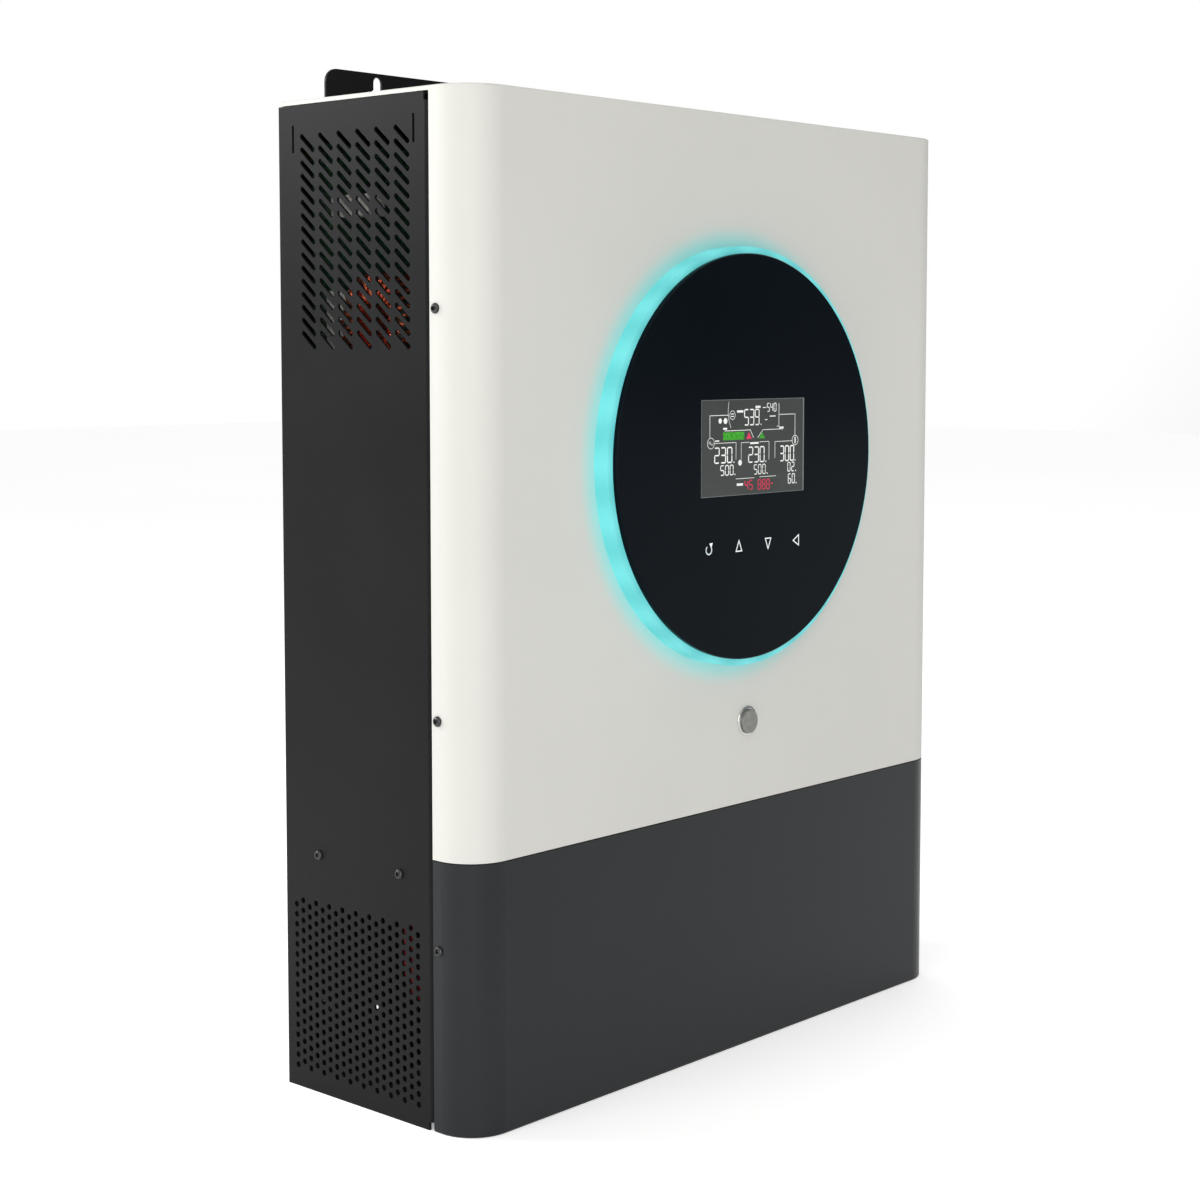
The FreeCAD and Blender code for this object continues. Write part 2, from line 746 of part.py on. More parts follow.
def make_display():
    """Glass disc on a lit ring, with the carrier, screen and boards behind it."""
    edge = "0.6"
    turned(new_body("display_lens"), [
        ("0", f"-{LENS_BACK}"),
        ("display_radius", f"-{LENS_BACK}"),
        ("display_radius", f"-{LENS_BACK} - lens_thickness + {edge}"),
        (f"display_radius - {edge}", f"-{LENS_BACK} - lens_thickness"),
        ("0", f"-{LENS_BACK} - lens_thickness"),
    ], "0", DISPLAY_Z)
    turned(new_body("light_ring"), [
        ("ring_radius", "-body_depth"),
        ("ring_radius", f"-{LENS_BACK}"),
        ("ring_inner", f"-{LENS_BACK}"),
        ("ring_inner", "-body_depth"),
        ("ring_inner + ring_wall", "-body_depth"),
        ("ring_inner + ring_wall", f"-{LENS_BACK} + ring_wall"),
        ("ring_radius - ring_wall", f"-{LENS_BACK} + ring_wall"),
        ("ring_radius - ring_wall", "-body_depth"),
    ], "0", DISPLAY_Z)
    strip_in = "(ring_inner + ring_wall + 0.5)"
    strip_out = "(ring_radius - ring_wall - 0.5)"
    strip = turned(loose_body("led_strip"), [
        (strip_in, "-body_depth"),
        (strip_out, "-body_depth"),
        (strip_out, "-body_depth - board_thickness"),
        (strip_in, "-body_depth - board_thickness"),
    ], "0", DISPLAY_Z)
    keep_in("ring_led_strip", strip)
    for index in range(24):
        angle = 15 * index + 7.5
        middle = "(ring_inner + ring_radius) / 2"
        x = f"{middle} * cos({angle} deg) - 1.5"
        z = f"{DISPLAY_Z} + {middle} * sin({angle} deg) - 1.5"
        keep_in("ring_led_strip", box(x, "-body_depth - board_thickness - 1.4", z, "3", "1.4", "3"))

    carrier = new_body("display_carrier")
    disc = circle(sketch_on(carrier, "XZ_Plane", LENS_BACK + " - carrier_wall"), "0", DISPLAY_Z, "carrier_radius")
    pad(carrier, disc, "carrier_wall")
    wall = sketch_on(carrier, "XZ_Plane", f"{LENS_BACK} - carrier_wall - carrier_depth")
    circle(wall, "0", DISPLAY_Z, "carrier_radius")
    circle(wall, "0", DISPLAY_Z, "carrier_radius - carrier_wall")
    pad(carrier, wall, "carrier_depth")
    flange = sketch_on(carrier, "XZ_Plane", "body_depth - cover_wall - carrier_flange")
    circle(flange, "0", DISPLAY_Z, "carrier_radius + carrier_rim")
    circle(flange, "0", DISPLAY_Z, "carrier_radius - carrier_wall")
    pad(carrier, flange, "carrier_flange")
    pocket(carrier, carrier_holes(carrier, "screw_radius + screw_hole_gap / 2"))
    for x, z in carrier_spots():
        back = "-body_depth + cover_wall + carrier_flange"
        keep_in("inner_screws", fuse(
            rod("-Y", x, f"{back} + screw_head_height", z, "screw_head_radius", "screw_head_height"),
            rod("-Y", x, back, z, "screw_radius", "cover_wall + carrier_flange - 0.3"),
        ))
    window = sketch_on(carrier, "XZ_Plane")
    middle = f"({DISPLAY_Z} + window_rise)"
    rectangle(window, "-window_width / 2", f"{middle} - window_height / 2",
              "window_width / 2", f"{middle} + window_height / 2")
    for column in range(4):
        circle(window, f"{column - 1.5} * touch_pitch", f"{FOOT} + touch_height", "5")
    pocket(carrier, window)

    y = f"-{LENS_BACK}"
    lcd = box("-window_width / 2 + 0.5", y, f"{middle} - window_height / 2 + 0.5",
              "window_width - 1", "lcd_thickness", "window_height - 1")
    node(lcd, "lcd_module")
    board_y = f"-{LENS_BACK} + lcd_thickness"
    board = rod("-Y", "0", f"{board_y} + board_thickness", DISPLAY_Z, "carrier_radius - carrier_wall - 1",
                "board_thickness")
    node(board, "display_board")
    springs = []
    for column in range(4):
        x = f"{column - 1.5} * touch_pitch"
        springs.append(rod("-Y", x, board_y, f"{FOOT} + touch_height", "3.5", "lcd_thickness"))
    node(cluster(*springs), "touch_springs")


# ---------------------------------------------------------------------------
# Push button
# ---------------------------------------------------------------------------
def make_button():
    """Metal push button: collar and barrel, nut, moving cap, switch behind."""
    bore = "(button_radius + button_gap)"
    stem = "3"
    end = "(body_depth - button_barrel)"
    turned(new_body("button_barrel"), [
        (bore, "-body_depth - collar_proud"),
        ("button_collar", "-body_depth - collar_proud"),
        ("button_collar", "-body_depth"),
        ("thread_radius", "-body_depth"),
        ("thread_radius", f"-{end}"),
        (f"{stem} + button_gap", f"-{end}"),
        (f"{stem} + button_gap", f"-{end} - 2"),
        (bore, f"-{end} - 2"),
    ], "button_offset", BUTTON_Z)
    cap_back = "(body_depth - 5)"
    turned(new_body("button_cap"), [
        ("0", "-body_depth - button_proud"),
        ("button_radius - 0.5", "-body_depth - button_proud"),
        ("button_radius", "-body_depth - button_proud + 0.5"),
        ("button_radius", f"-{cap_back}"),
        (stem, f"-{cap_back}"),
        (stem, f"-{end} + 2"),
        ("0", f"-{end} + 2"),
    ], "button_offset", BUTTON_Z)
    nut_y = "-body_depth + cover_wall + 3"
    nut = hexagon("-Y", "button_offset", nut_y, BUTTON_Z, "20", "3")
    node(cut(nut, rod("-Y", "button_offset", f"{nut_y} + 1", BUTTON_Z, "thread_radius", "5")), "button_nut")
    switch_y = f"-{end} + 2 + button_travel + 0.3"
    pieces = [box("button_offset - 8", switch_y, f"{BUTTON_Z} - 7", "16", "9", "14")]
    for side in (-1, 1):
        pin = box(f"button_offset + {side} * 4 - 0.4", f"{switch_y} + 9", f"{BUTTON_Z} - 2", "0.8", "6", "4")
        low = "button_offset - 8" if side < 0 else "button_offset + 7"
        clip = box(low, f"-{end}", f"{BUTTON_Z} - 5", "1", f"{switch_y} + {end} + 1", "10")
        pieces.extend([pin, clip])
    node(fuse(*pieces), "button_switch")


# ---------------------------------------------------------------------------
# Fans
# ---------------------------------------------------------------------------
FAN_NAMES = ("left", "middle", "right")


def make_fans():
    """Three axial fans on the shelf; the rotors turn in sintered bearings."""
    frames, guards, screws = [], [], []
    y = "-fan_centre"
    for index, name in enumerate(FAN_NAMES):
        x = f"{index - 1} * fan_pitch"
        shell_box = box(f"{x} - fan_size / 2", f"{y} - fan_size / 2", SHELF_Z, "fan_size", "fan_size", "fan_thickness")
        throat = rod("Z", x, y, f"{SHELF_Z} - 1", "fan_throat", "fan_thickness + 2")
        holes = []
        for sx in (-1, 1):
            for sy in (-1, 1):
                spot = (f"{x} + {sx} * fan_screw_pitch / 2", f"{y} + {sy} * fan_screw_pitch / 2")
                holes.append(rod("Z", *spot, f"{SHELF_Z} - 1", "fan_screw_radius", "fan_thickness + 2"))
                screws.append(fuse(
                    rod("Z", *spot, f"{SHELF_Z} + fan_thickness", "fan_screw_radius + 1.5", "2"),
                    rod("Z", *spot, f"{SHELF_Z} - 5", "fan_screw_radius - 0.1", "fan_thickness + 5"),
                ))
        # The motor plate stands on four struts at the outlet side
        plate_z = f"({SHELF_Z} + fan_thickness - 4)"
        struts = [
            box(f"{x} - fan_throat - 1", f"{y} - 2", plate_z, "2 * fan_throat + 2", "4", "3"),
            box(f"{x} - 2", f"{y} - fan_throat - 1", plate_z, "4", "2 * fan_throat + 2", "3"),
            rod("Z", x, y, plate_z, "fan_hub", "3"),
        ]
        bore = rod("Z", x, y, f"{SHELF_Z} + 2", "bearing_radius", "fan_thickness")
        frames.append(cut(fuse(cut(shell_box, throat, *holes), *struts), bore))
        bearing_z = f"({SHELF_Z} + 7)"
        sleeve = rod("Z", x, y, bearing_z, "bearing_radius", "fan_thickness - 8")
        shaft_hole = rod("Z", x, y, f"{bearing_z} - 1", "shaft_radius + bearing_gap", "fan_thickness")
        keep_in("fan_bearings", cut(sleeve, shaft_hole))
        stator = rod("Z", x, y, f"{SHELF_Z} + 8", "11", "fan_thickness - 12.2")
        keep_in("fan_stators", cut(stator, rod("Z", x, y, f"{SHELF_Z} + 6", "bearing_radius", "fan_thickness")))
        rings = [make_guard_ring(x, y, radius) for radius in (12, 20, 28, 36)]
        spokes = [
            box(f"{x} - 45", f"{y} - 0.8", f"{SHELF_Z} - sheet_gauge - 3", "90", "1.6", "1.6"),
            box(f"{x} - 0.8", f"{y} - 45", f"{SHELF_Z} - sheet_gauge - 3", "1.6", "90", "1.6"),
        ]
        feet = [
            box(f"{x} + {sx * 43} - 2", f"{y} - 2", f"{SHELF_Z} - sheet_gauge - 3", "4", "4", "3") for sx in (-1, 1)
        ]
        guards.append(fuse(*rings, *spokes, *feet))
        make_rotor(name, x, y)
    node(cluster(*frames), "fan_frames")
    node(cluster(*guards), "fan_guards")
    node(cluster(*screws), "fan_screws")


def make_guard_ring(x, y, radius):
    """One wire ring of a finger guard."""
    ring = doc.addObject("Part::Torus", "Wire")
    ring.Radius1 = radius
    ring.Radius2 = 0.8
    return put(ring, x, y, f"{SHELF_Z} - sheet_gauge - 2.2")


def make_rotor(name, x, y):
    """Hub cup with seven pitched blades, and its shaft."""
    body = loose_body("rotor")
    low = "2"
    high = "(fan_thickness - 5)"
    hub = circle(sketch_on(body, "XY_Plane", low), "0", "0", "fan_hub - 1")
    pad(body, hub, f"{high} - {low}")
    blade = sketch_on(body, "YZ_Plane", "fan_hub - 2")
    polygon(blade, [("-7", low), ("-5", low), ("7", high), ("5", high)])
    blade_pad = pad(body, blade, "fan_tip - fan_hub + 2")
    pattern = body.newObject("PartDesign::PolarPattern", "Blades")
    pattern.Originals = [blade_pad]
    pattern.Axis = ([item for item in body.Origin.OriginFeatures if item.Role == "Z_Axis"][0], [""])
    pattern.Angle = 360
    pattern.Occurrences = 7
    body.Tip = pattern
    doc.recompute()
    cup = circle(sketch_on(body, "XY_Plane", "5"), "0", "0", "13")
    doc.recompute()
    hollow = body.newObject("PartDesign::Pocket", "Cup")
    hollow.Profile = cup
    hollow.Reversed = True
    bind(hollow, {"Length": "fan_thickness"})
    body.Tip = hollow
    doc.recompute()
    bore = circle(sketch_on(body, "XY_Plane"), "0", "0", "shaft_radius")
    pocket(body, bore)
    put(body, x, y, SHELF_Z)
    shaft = rod("Z", x, y, f"{SHELF_Z} + {low}", "shaft_radius", "fan_thickness - 6")
    node(cluster(body, shaft), f"fan_rotor_{name}")


# ---------------------------------------------------------------------------
# Power section
# ---------------------------------------------------------------------------
def make_power_board():
    """Power board on hex standoffs in front of the rear sheet."""
    foot = f"({FOOT} + power_board_foot)"
    y = "-sheet_gauge - board_standoff - board_thickness"
    board = box("-power_board_width / 2", y, foot, "power_board_width", "board_thickness", "power_board_height")
    holes = []
    for sx in (-1, 0, 1):
        for height in ("8", "power_board_height / 2", "power_board_height - 8"):
            spot_x = f"{sx} * (power_board_width / 2 - board_screw_inset)"
            spot_z = f"{foot} + {height}"
            holes.append(rod("-Y", spot_x, "0", spot_z, "1.7", "40"))
            keep_in("board_standoffs", hexagon("-Y", spot_x, "-sheet_gauge", spot_z, "6", "board_standoff"))
            keep_in("inner_screws", fuse(
                rod("-Y", spot_x, f"{y}", spot_z, "2.8", "1.8"),
                rod("-Y", spot_x, f"{y} + board_thickness", spot_z, "1.5", "board_thickness"),
            ))
    node(cut(board, *holes), "power_board")


def make_heatsinks():
    """Two finned extrusions over the outer fans, with transistors clamped on."""
    transistors, bars = [], []
    for side in (-1, 1):
        body = loose_body("heatsink")
        keep_in("heatsinks", body)
        middle = f"({side} * fan_pitch)"
        back = f"({BOARD_FRONT} + 4)"
        inner = f"({middle} - {side} * heatsink_width / 2)"
        base = sketch_on(body, "XY_Plane", HEATSINK_FOOT)
        rectangle(base, inner, f"-{back} - heatsink_depth", f"{inner} + {side} * heatsink_base", f"-{back}")
        pad(body, base, "heatsink_height")
        fin = sketch_on(body, "XY_Plane", HEATSINK_FOOT)
        rectangle(fin, f"{inner} + {side} * heatsink_base", f"-{back} - fin_thickness",
                  f"{inner} + {side} * heatsink_width", f"-{back}")
        fin_pad = pad(body, fin, "heatsink_height")
        pattern = body.newObject("PartDesign::LinearPattern", "Fins")
        pattern.Originals = [fin_pad]
        pattern.Direction = (fin, ["V_Axis"])
        pattern.Reversed = True
        bind(pattern, {"Length": "heatsink_depth - fin_thickness", "Occurrences": "heatsink_fins"})
        body.Tip = pattern
        doc.recompute()
        face = f"({inner} - {side} * 5)" if side > 0 else inner
        for index in range(6):
            z = f"({HEATSINK_FOOT} + 14 + {index} * 32)"
            low = face
            case = box(low, f"-{back} - 34", z, "5", "21", "16")
            legs = [
                box(f"{low} + 2", f"-{back} - 13", f"{z} + {2 + 5.45 * leg}", "1", "13 + 4", "1.2")
                for leg in range(3)
            ]
            transistors.append(fuse(case, *legs))
        bar_low = f"({inner} - {side} * 8)" if side > 0 else f"({inner} + 5)"
        bars.append(box(bar_low, f"-{back} - 30", f"{HEATSINK_FOOT} + 8", "3", "10", "heatsink_height - 24"))
    node(cluster(*transistors), "power_transistors")
    node(cluster(*bars), "clamp_bars")


def make_coils():
    """Copper-wound toroid coils on edge beside the vented sides, and their lead plugs."""
    cores, windings, cradles = [], [], []
    for side in (-1, 1):
        for place in range(3):
            x = f"({side} * coil_offset)"
            y = f"(-{BOARD_FRONT} - coil_cradle - coil_radius - 4)"
            z = f"({FOOT} + coil_height - {place} * coil_pitch)"
            low = f"{x} - coil_width / 2"
            core = rod("X", low, y, z, "coil_radius", "coil_width")
            cores.append(cut(core, rod("X", f"{low} - 1", y, z, "coil_bore", "coil_width + 2")))
            turns = []
            for index in range(30):
                if index in (21, 22, 23):
                    continue
                turns.append(winding_turn(x, y, z, index * 12))
            windings.extend(turns)
            cradles.append(cut(
                box(f"{x} - 10", f"{y} + coil_radius - 6", f"{z} - 18", "20", "coil_cradle + 10", "36"),
                rod("X", f"{x} - 20", y, z, "coil_radius + 3.2", "40"),
            ))
        plug_low = (f"{side} * coil_offset - plug_size / 2", f"{FOOT} + plug_height - plug_size / 2")
        cradles.append(box(plug_low[0], f"-{BOARD_FRONT} - plug_reach", plug_low[1],
                           "plug_size", "plug_reach", "plug_size"))
    node(cluster(*cores), "coil_cores")
    node(cluster(*windings), "coil_windings")
    node(cluster(*cradles), "coil_cradles")


def winding_turn(x, y, z, angle):
    """One flat turn of wire around the core's section, as a rectangular hoop."""
    wire = 2.4
    outer = doc.addObject("Part::Box", "Turn")
    inner = doc.addObject("Part::Box", "Gap")
    turn = Rotation(Vector(1, 0, 0), angle)
    for item, grow in ((outer, wire), (inner, 0.15)):
        bind(item, {
            "Length": f"coil_width + {2 * grow}",
            "Width": f"coil_radius - coil_bore + {2 * grow}",
        })
        item.Height = wire if item is outer else wire + 2
        start = Vector(
            -SIZES["coil_width"] / 2 - grow,
            SIZES["coil_bore"] - grow,
            -item.Height.Value / 2,
        )
        spot = turn.multVec(start)
        item.Placement = Placement(spot, turn)
        put(item, f"{x} + {spot.x}", f"{y} + {spot.y}", f"{z} + {spot.z}")
    return cut(outer, inner)


def make_board_parts():
    """Capacitors, transformers, relays and film capacitors on the power board."""
    face = f"-{BOARD_FRONT}"
    for row in range(2):
        for column in range(4):
            x = f"{(column - 1.5) * 33}"
            z = f"{FOOT} + {452 + row * 36}"
            keep_in("capacitors", rod("-Y", x, face, z, "main_can_radius", "main_can_height"))
    for index in range(6):
        x = f"{(index - 2.5) * 19}"
        keep_in("capacitors", rod("-Y", x, face, f"{FAN_TOP} + small_can_rise", "small_can_radius", "small_can_height"))
    cores, windings = [], []
    for row in range(2):
        z = f"({FOOT} + {212 + row * 74})"
        outer = box("-33", f"{face} - 46", z, "66", "42", "60")
        gaps = [box(x, f"{face} - 47", f"{z} + 11", "15", "44", "38") for x in ("-27", "12")]
        feet = [box(x, f"{face} - 5", f"{z} + 2", "6", "5", "56") for x in ("-33", "27")]
        cores.append(fuse(cut(outer, *gaps), *feet))
        bobbin = box("-26.5", f"{face} - 49", f"{z} + 11.5", "53", "48", "37")
        windings.append(cut(bobbin, box("-12.5", f"{face} - 46.5", f"{z} + 11", "25", "43", "38")))
    node(cluster(*cores), "transformer_cores")
    node(cluster(*windings), "transformer_windings")
    relays = [box(f"{-62 + 32 * i}", f"{face} - 22", f"{FOOT} + 366", "28", "22", "30") for i in range(4)]
    node(cluster(*relays), "relays")
    film = [box(f"{-60 + 32 * i}", f"{face} - 24", f"{FOOT} + 404", "26", "24", "14") for i in range(4)]
    node(cluster(*film), "film_capacitors")


def make_control_board():
    """Control board on a steel bracket across the heatsinks' front faces."""
    face = f"({BOARD_FRONT} + 4 + heatsink_depth)"
    low = f"({FOOT} + control_foot)"
    plate = box("-fan_pitch - heatsink_width / 2 + 2", f"-{face} - 1.5", f"{low} + 10",
                "2 * fan_pitch + heatsink_width - 4", "1.5", "control_height - 20")
    window = box("-60", f"-{face} - 3", f"{low} + 25", "120", "6", "control_height - 50")
    keep_in("board_brackets", cut(plate, window))
    y = f"-{face} - 1.5 - 6"
    board = box("-control_width / 2", f"{y} - board_thickness", low, "control_width", "board_thickness", "control_height")
    for sx in (-1, 1):
        for z in ("15", "control_height - 15"):
            spot = (f"{sx} * (control_width / 2 - 6)", f"{y} + 6", f"{low} + {z}")
            keep_in("board_standoffs", hexagon("-Y", *spot, "5", "6"))
    chips = [
        box("-20", f"{y} - board_thickness - 1.6", f"{low} + 40", "20", "1.6", "20"),
        box("18", f"{y} - board_thickness - 1.6", f"{low} + 60", "10", "1.6", "6"),
        box("-60", f"{y} - board_thickness - 7", f"{low} + 14", "30", "7", "8"),
        box("30", f"{y} - board_thickness - 7", f"{low} + 88", "40", "7", "8"),
    ]
    node(cluster(board, *chips), "control_board")


# ---------------------------------------------------------------------------
# Wiring compartment
# ---------------------------------------------------------------------------
TERMINAL_FACE = "(sheet_gauge + terminal_plate_stand + sheet_gauge)"
BATTERY_X = (-104, -60)


def make_terminals():
    """Terminal plate with the battery studs, the terminal blocks and the earth stud."""
    low = f"({FOOT} + terminal_foot)"
    left = "(-terminal_plate_width / 2)"
    plate = box(left, f"-{TERMINAL_FACE}", low, "terminal_plate_width", "sheet_gauge", "terminal_plate_height")
    legs = []
    for x in (left, "(terminal_plate_width / 2 - sheet_gauge)"):
        legs.append(box(x, f"-{TERMINAL_FACE}", low, "sheet_gauge", f"{TERMINAL_FACE} - sheet_gauge",
                        "terminal_plate_height"))
    node(fuse(plate, *legs), "terminal_plate")

    z = f"({low} + terminal_plate_height / 2)"
    face = f"-{TERMINAL_FACE}"
    blocks, lugs = [], []
    for x in BATTERY_X:
        base = box(f"{x - 18}", f"{face} - 16", f"{z} - 22", "36", "16", "44")
        blocks.append(cut(base, rod("-Y", f"{x}", f"{face} - 4", z, "battery_stud", "20")))
        keep_in("terminal_studs", rod("-Y", f"{x}", f"{face} - 4", z, "battery_stud", "12 + battery_stud_length"))
        nut_y = f"{face} - 16 - lug_thickness"
        nut = hexagon("-Y", f"{x}", nut_y, z, "13", "6.5")
        keep_in("terminal_nuts", cut(nut, rod("-Y", f"{x}", f"{nut_y} + 1", z, "battery_stud", "9")))
        tongue = box(f"{x - 8}", nut_y, f"{z} - lug_reach - 2", "16", "lug_thickness", "lug_reach + 12")
        barrel = rod("Z", f"{x}", f"{nut_y} - 4", f"{z} - lug_reach - lug_barrel", "cable_radius + 1.3", "lug_barrel")
        bore = rod("Z", f"{x}", f"{nut_y} - 4", f"{z} - lug_reach - lug_barrel - 1", "cable_radius", "lug_barrel - 1")
        eye = rod("-Y", f"{x}", f"{nut_y} + 3", z, "battery_stud + 0.2", "8")
        lugs.append(cut(fuse(tongue, barrel), bore, eye))
    node(cluster(*blocks), "battery_blocks")
    node(cluster(*lugs), "battery_lugs")

    for start, count in ((-28, 6), (68, 3)):
        pitch = 14.0
        width = pitch * count
        body = box(f"{start}", f"{face} - 30", f"{z} - 16", f"{width}", "30", "32")
        wells = []
        for index in range(count):
            middle = start + pitch * (index + 0.5)
            wells.append(rod("-Y", f"{middle}", f"{face} - 18", z, "4.2", "14"))
            wells.append(box(f"{middle - 4.5}", f"{face} - 17", f"{z} - 17", "9", "9", "12"))
            keep_in("terminal_screws", rod("-Y", f"{middle}", f"{face} - 18", z, "3.9", "4"))
        keep_in("terminal_blocks", cut(body, *wells))

    earth_x, earth_z = "-190", f"{FOOT} + 40"
    stud = rod("-Y", earth_x, "-sheet_gauge", earth_z, "earth_stud", "20")
    flat = rod("-Y", earth_x, "-sheet_gauge", earth_z, "7", "2")
    nut = hexagon("-Y", earth_x, "-sheet_gauge - 2", earth_z, "10", "5")
    keep_in("terminal_studs", fuse(stud, flat))
    keep_in("terminal_nuts", cut(nut, rod("-Y", earth_x, "-sheet_gauge - 1", earth_z, "earth_stud", "9")))


def make_grommets():
    """Rubber grommets in the bottom sheet's cable entries."""
    low = f"({FOOT} + floor_rise - grommet_lip_height)"
    height = "sheet_gauge + 2 * grommet_lip_height"
    for x, radius in ENTRIES:
        y = "-entry_depth"
        tube = rod("Z", f"{x}", y, low, f"{radius} + grommet_lip", height)
        rims = [
            rod("Z", f"{x}", y, low, f"{radius} + 2 * grommet_lip", "grommet_lip_height"),
            rod("Z", f"{x}", y, f"{low} + grommet_lip_height + sheet_gauge", f"{radius} + 2 * grommet_lip",
                "grommet_lip_height"),
        ]
        bore = rod("Z", f"{x}", y, f"{low} - 1", radius, f"{height} + 2")
        keep_in("cable_grommets", cut(fuse(tube, *rims), bore))


def make_data_board():
    """Data board with two network sockets and a square socket that face down."""
    floor = f"({FOOT} + floor_rise + sheet_gauge)"
    low = f"({floor} + 1)"
    back = "-55"
    node(box("100", back, low, "72", "board_thickness", "40"), "data_board")
    sockets = []
    for x, y, width, depth in PORT_CUTOUTS:
        case = box(f"{x - width / 2 + 0.5}", f"{y - depth / 2 + 0.5}", low, f"{width - 1}", f"{depth - 1}", "20")
        hollow = box(f"{x - width / 2 + 2}", f"{y - depth / 2 + 2}", f"{low} - 1", f"{width - 4}", f"{depth - 4}", "14")
        sockets.append(cut(case, hollow))
    node(cluster(*sockets), "data_sockets")
    upright = box("100", f"{back} + board_thickness", floor, "72", "sheet_gauge", "36")
    flat = box("100", f"{back} + board_thickness", floor, "72", "16", "sheet_gauge")
    keep_in("board_brackets", fuse(upright, flat))


def bent_cable(points, radius):
    """A round cable along straight runs joined by tangent arcs."""
    corners = [Vector(*point) for point in points]
    edges = []
    start = corners[0]
    for before, corner, after in zip(corners, corners[1:], corners[2:]):
        inward = (before - corner).normalize()
        outward = (after - corner).normalize()
        turn = math.pi - inward.getAngle(outward)
        run = min((before - corner).Length, (after - corner).Length)
        set_back = 0.45 * run
        bend = set_back / math.tan(turn / 2)
        first = corner + inward * set_back
        last = corner + outward * set_back
        middle_way = (inward + outward).normalize()
        centre = corner + middle_way * (bend / math.cos(turn / 2))
        middle = centre - middle_way * bend
        edges.append(Part.LineSegment(start, first).toShape())
        edges.append(Part.Arc(first, middle, last).toShape())
        start = last
    edges.append(Part.LineSegment(start, corners[-1]).toShape())
    path = Part.Wire(edges)
    direction = corners[1] - corners[0]
    section = Part.Wire([Part.Circle(corners[0], direction, radius).toShape()])
    return path.makePipeShell([section], True, False)


def cable(name, routes, radius):
    """Cables or wires made from their routes and kept in a named set."""
    for points in routes:
        item = doc.addObject("Part::Feature", "Cable")
        item.Shape = bent_cable(points, radius)
        keep_in(name, item)


def make_cables():
    """Battery cables, mains wires, fan leads, and the display and button leads."""
    size = SIZES
    foot = -size["body_height"] / 2
    shelf = foot + size["shelf_height"]
    stud_z = foot + size["terminal_foot"] + size["terminal_plate_height"] / 2
    lug_y = -(2 * size["sheet_gauge"] + size["terminal_plate_stand"]) - 16 - size["lug_thickness"] - 4
    lug_z = stud_z - size["lug_reach"] - size["lug_barrel"] + 11
    slot_x = -size["cable_slot_centre"]
    slot_y = -size["fan_centre"]
    board = -(size["sheet_gauge"] + size["board_standoff"] + size["board_thickness"])
    end_z = shelf + 70
    rise = [(slot_y - 2, shelf - 30), (slot_y - 2, shelf + 26), (board - 22, shelf + 44), (board - 22, end_z)]

    left, right = BATTERY_X
    cable("battery_cable_positive", [[
        (left, lug_y, lug_z),
        (left, lug_y, lug_z - 24),
        (left - 50, slot_y - 6, foot + 44),
        (slot_x - 24, slot_y - 30, foot + 60),
        *[(slot_x - 7, y, z) for y, z in rise],
    ]], size["cable_radius"])
    cable("battery_cable_negative", [[
        (right, lug_y, lug_z),
        (right, lug_y, lug_z - 24),
        (right - 34, slot_y - 22, foot + 50),
        (right - 70, slot_y - 30, foot + 88),
        *[(slot_x + 7, y, z) for y, z in rise],
    ]], size["cable_radius"])
    posts = []
    for shift in (-7, 7):
        post = box(f"-cable_slot_centre + {shift} - 6", f"-{BOARD_FRONT} - 28", f"{SHELF_Z} + 70", "12", "28", "12")
        posts.append(post)
    node(cluster(*posts), "board_terminals")

    block_top = foot + size["terminal_foot"] + size["terminal_plate_height"] / 2 + 16
    wires = []
    for index, x in enumerate((7, 21, 35)):
        lane = 6 * index
        lane_x = -slot_x - 6 + lane
        wires.append([
            (x, -34 - lane, block_top),
            (x, -34 - lane, block_top + 10),
            (x, -50 - lane, block_top + 26),
            (-slot_x - 44, -50 - lane, block_top + 26),
            (lane_x, -50 - lane, shelf - 12),
            (lane_x, -50 - lane, shelf + 24),
            (lane_x, -34, shelf + 54),
            (lane_x, board, shelf + 54),
        ])
    cable("mains_wires", wires, size["mains_wire"])
    leads = []
    for index in range(3):
        x = (index - 1) * size["fan_pitch"] + 30
        top = shelf + size["fan_thickness"]
        leads.append([(x, -30, top), (x, -30, top + 7), (x, -22, top + 12), (x, board, top + 12)])
    cable("signal_leads", leads, size["fan_lead"])

    display_back = -(size["body_depth"] + size["display_standoff"]) + size["lcd_thickness"] + size["board_thickness"]
    heatsink_face = board - 4 - size["heatsink_depth"]
    plug = heatsink_face - 1.5 - 6 - size["board_thickness"] - 7
    control = foot + size["control_foot"]
    cable("signal_leads", [[
        (50, display_back, control + 50),
        (50, display_back + 16, control + 50),
        (50, plug - 16, control + 92),
        (50, plug, control + 92),
    ]], size["display_lead"])
    switch = -size["body_depth"] + size["button_barrel"] + 2 + size["button_travel"] + 0.3 + 15
    button_x, button_z = size["button_offset"], foot + size["button_height"]
    cable("signal_leads", [[
        (button_x, switch, button_z),
        (button_x, switch + 9, button_z),
        (-10, switch + 10, button_z + 30),
        (-45, plug - 12, control + 18),
        (-45, plug, control + 18),
    ]], size["button_lead"])


make_rear_panel()
make_side_panels()
make_cross_panels()
make_covers()
make_cover_brackets()
make_side_screws()
make_display()
make_button()
make_fans()
make_power_board()
make_heatsinks()
make_coils()
make_board_parts()
make_control_board()
make_terminals()
make_grommets()
make_data_board()
make_cables()
for name, pieces in SETS.items():
    node(cluster(*pieces), name)

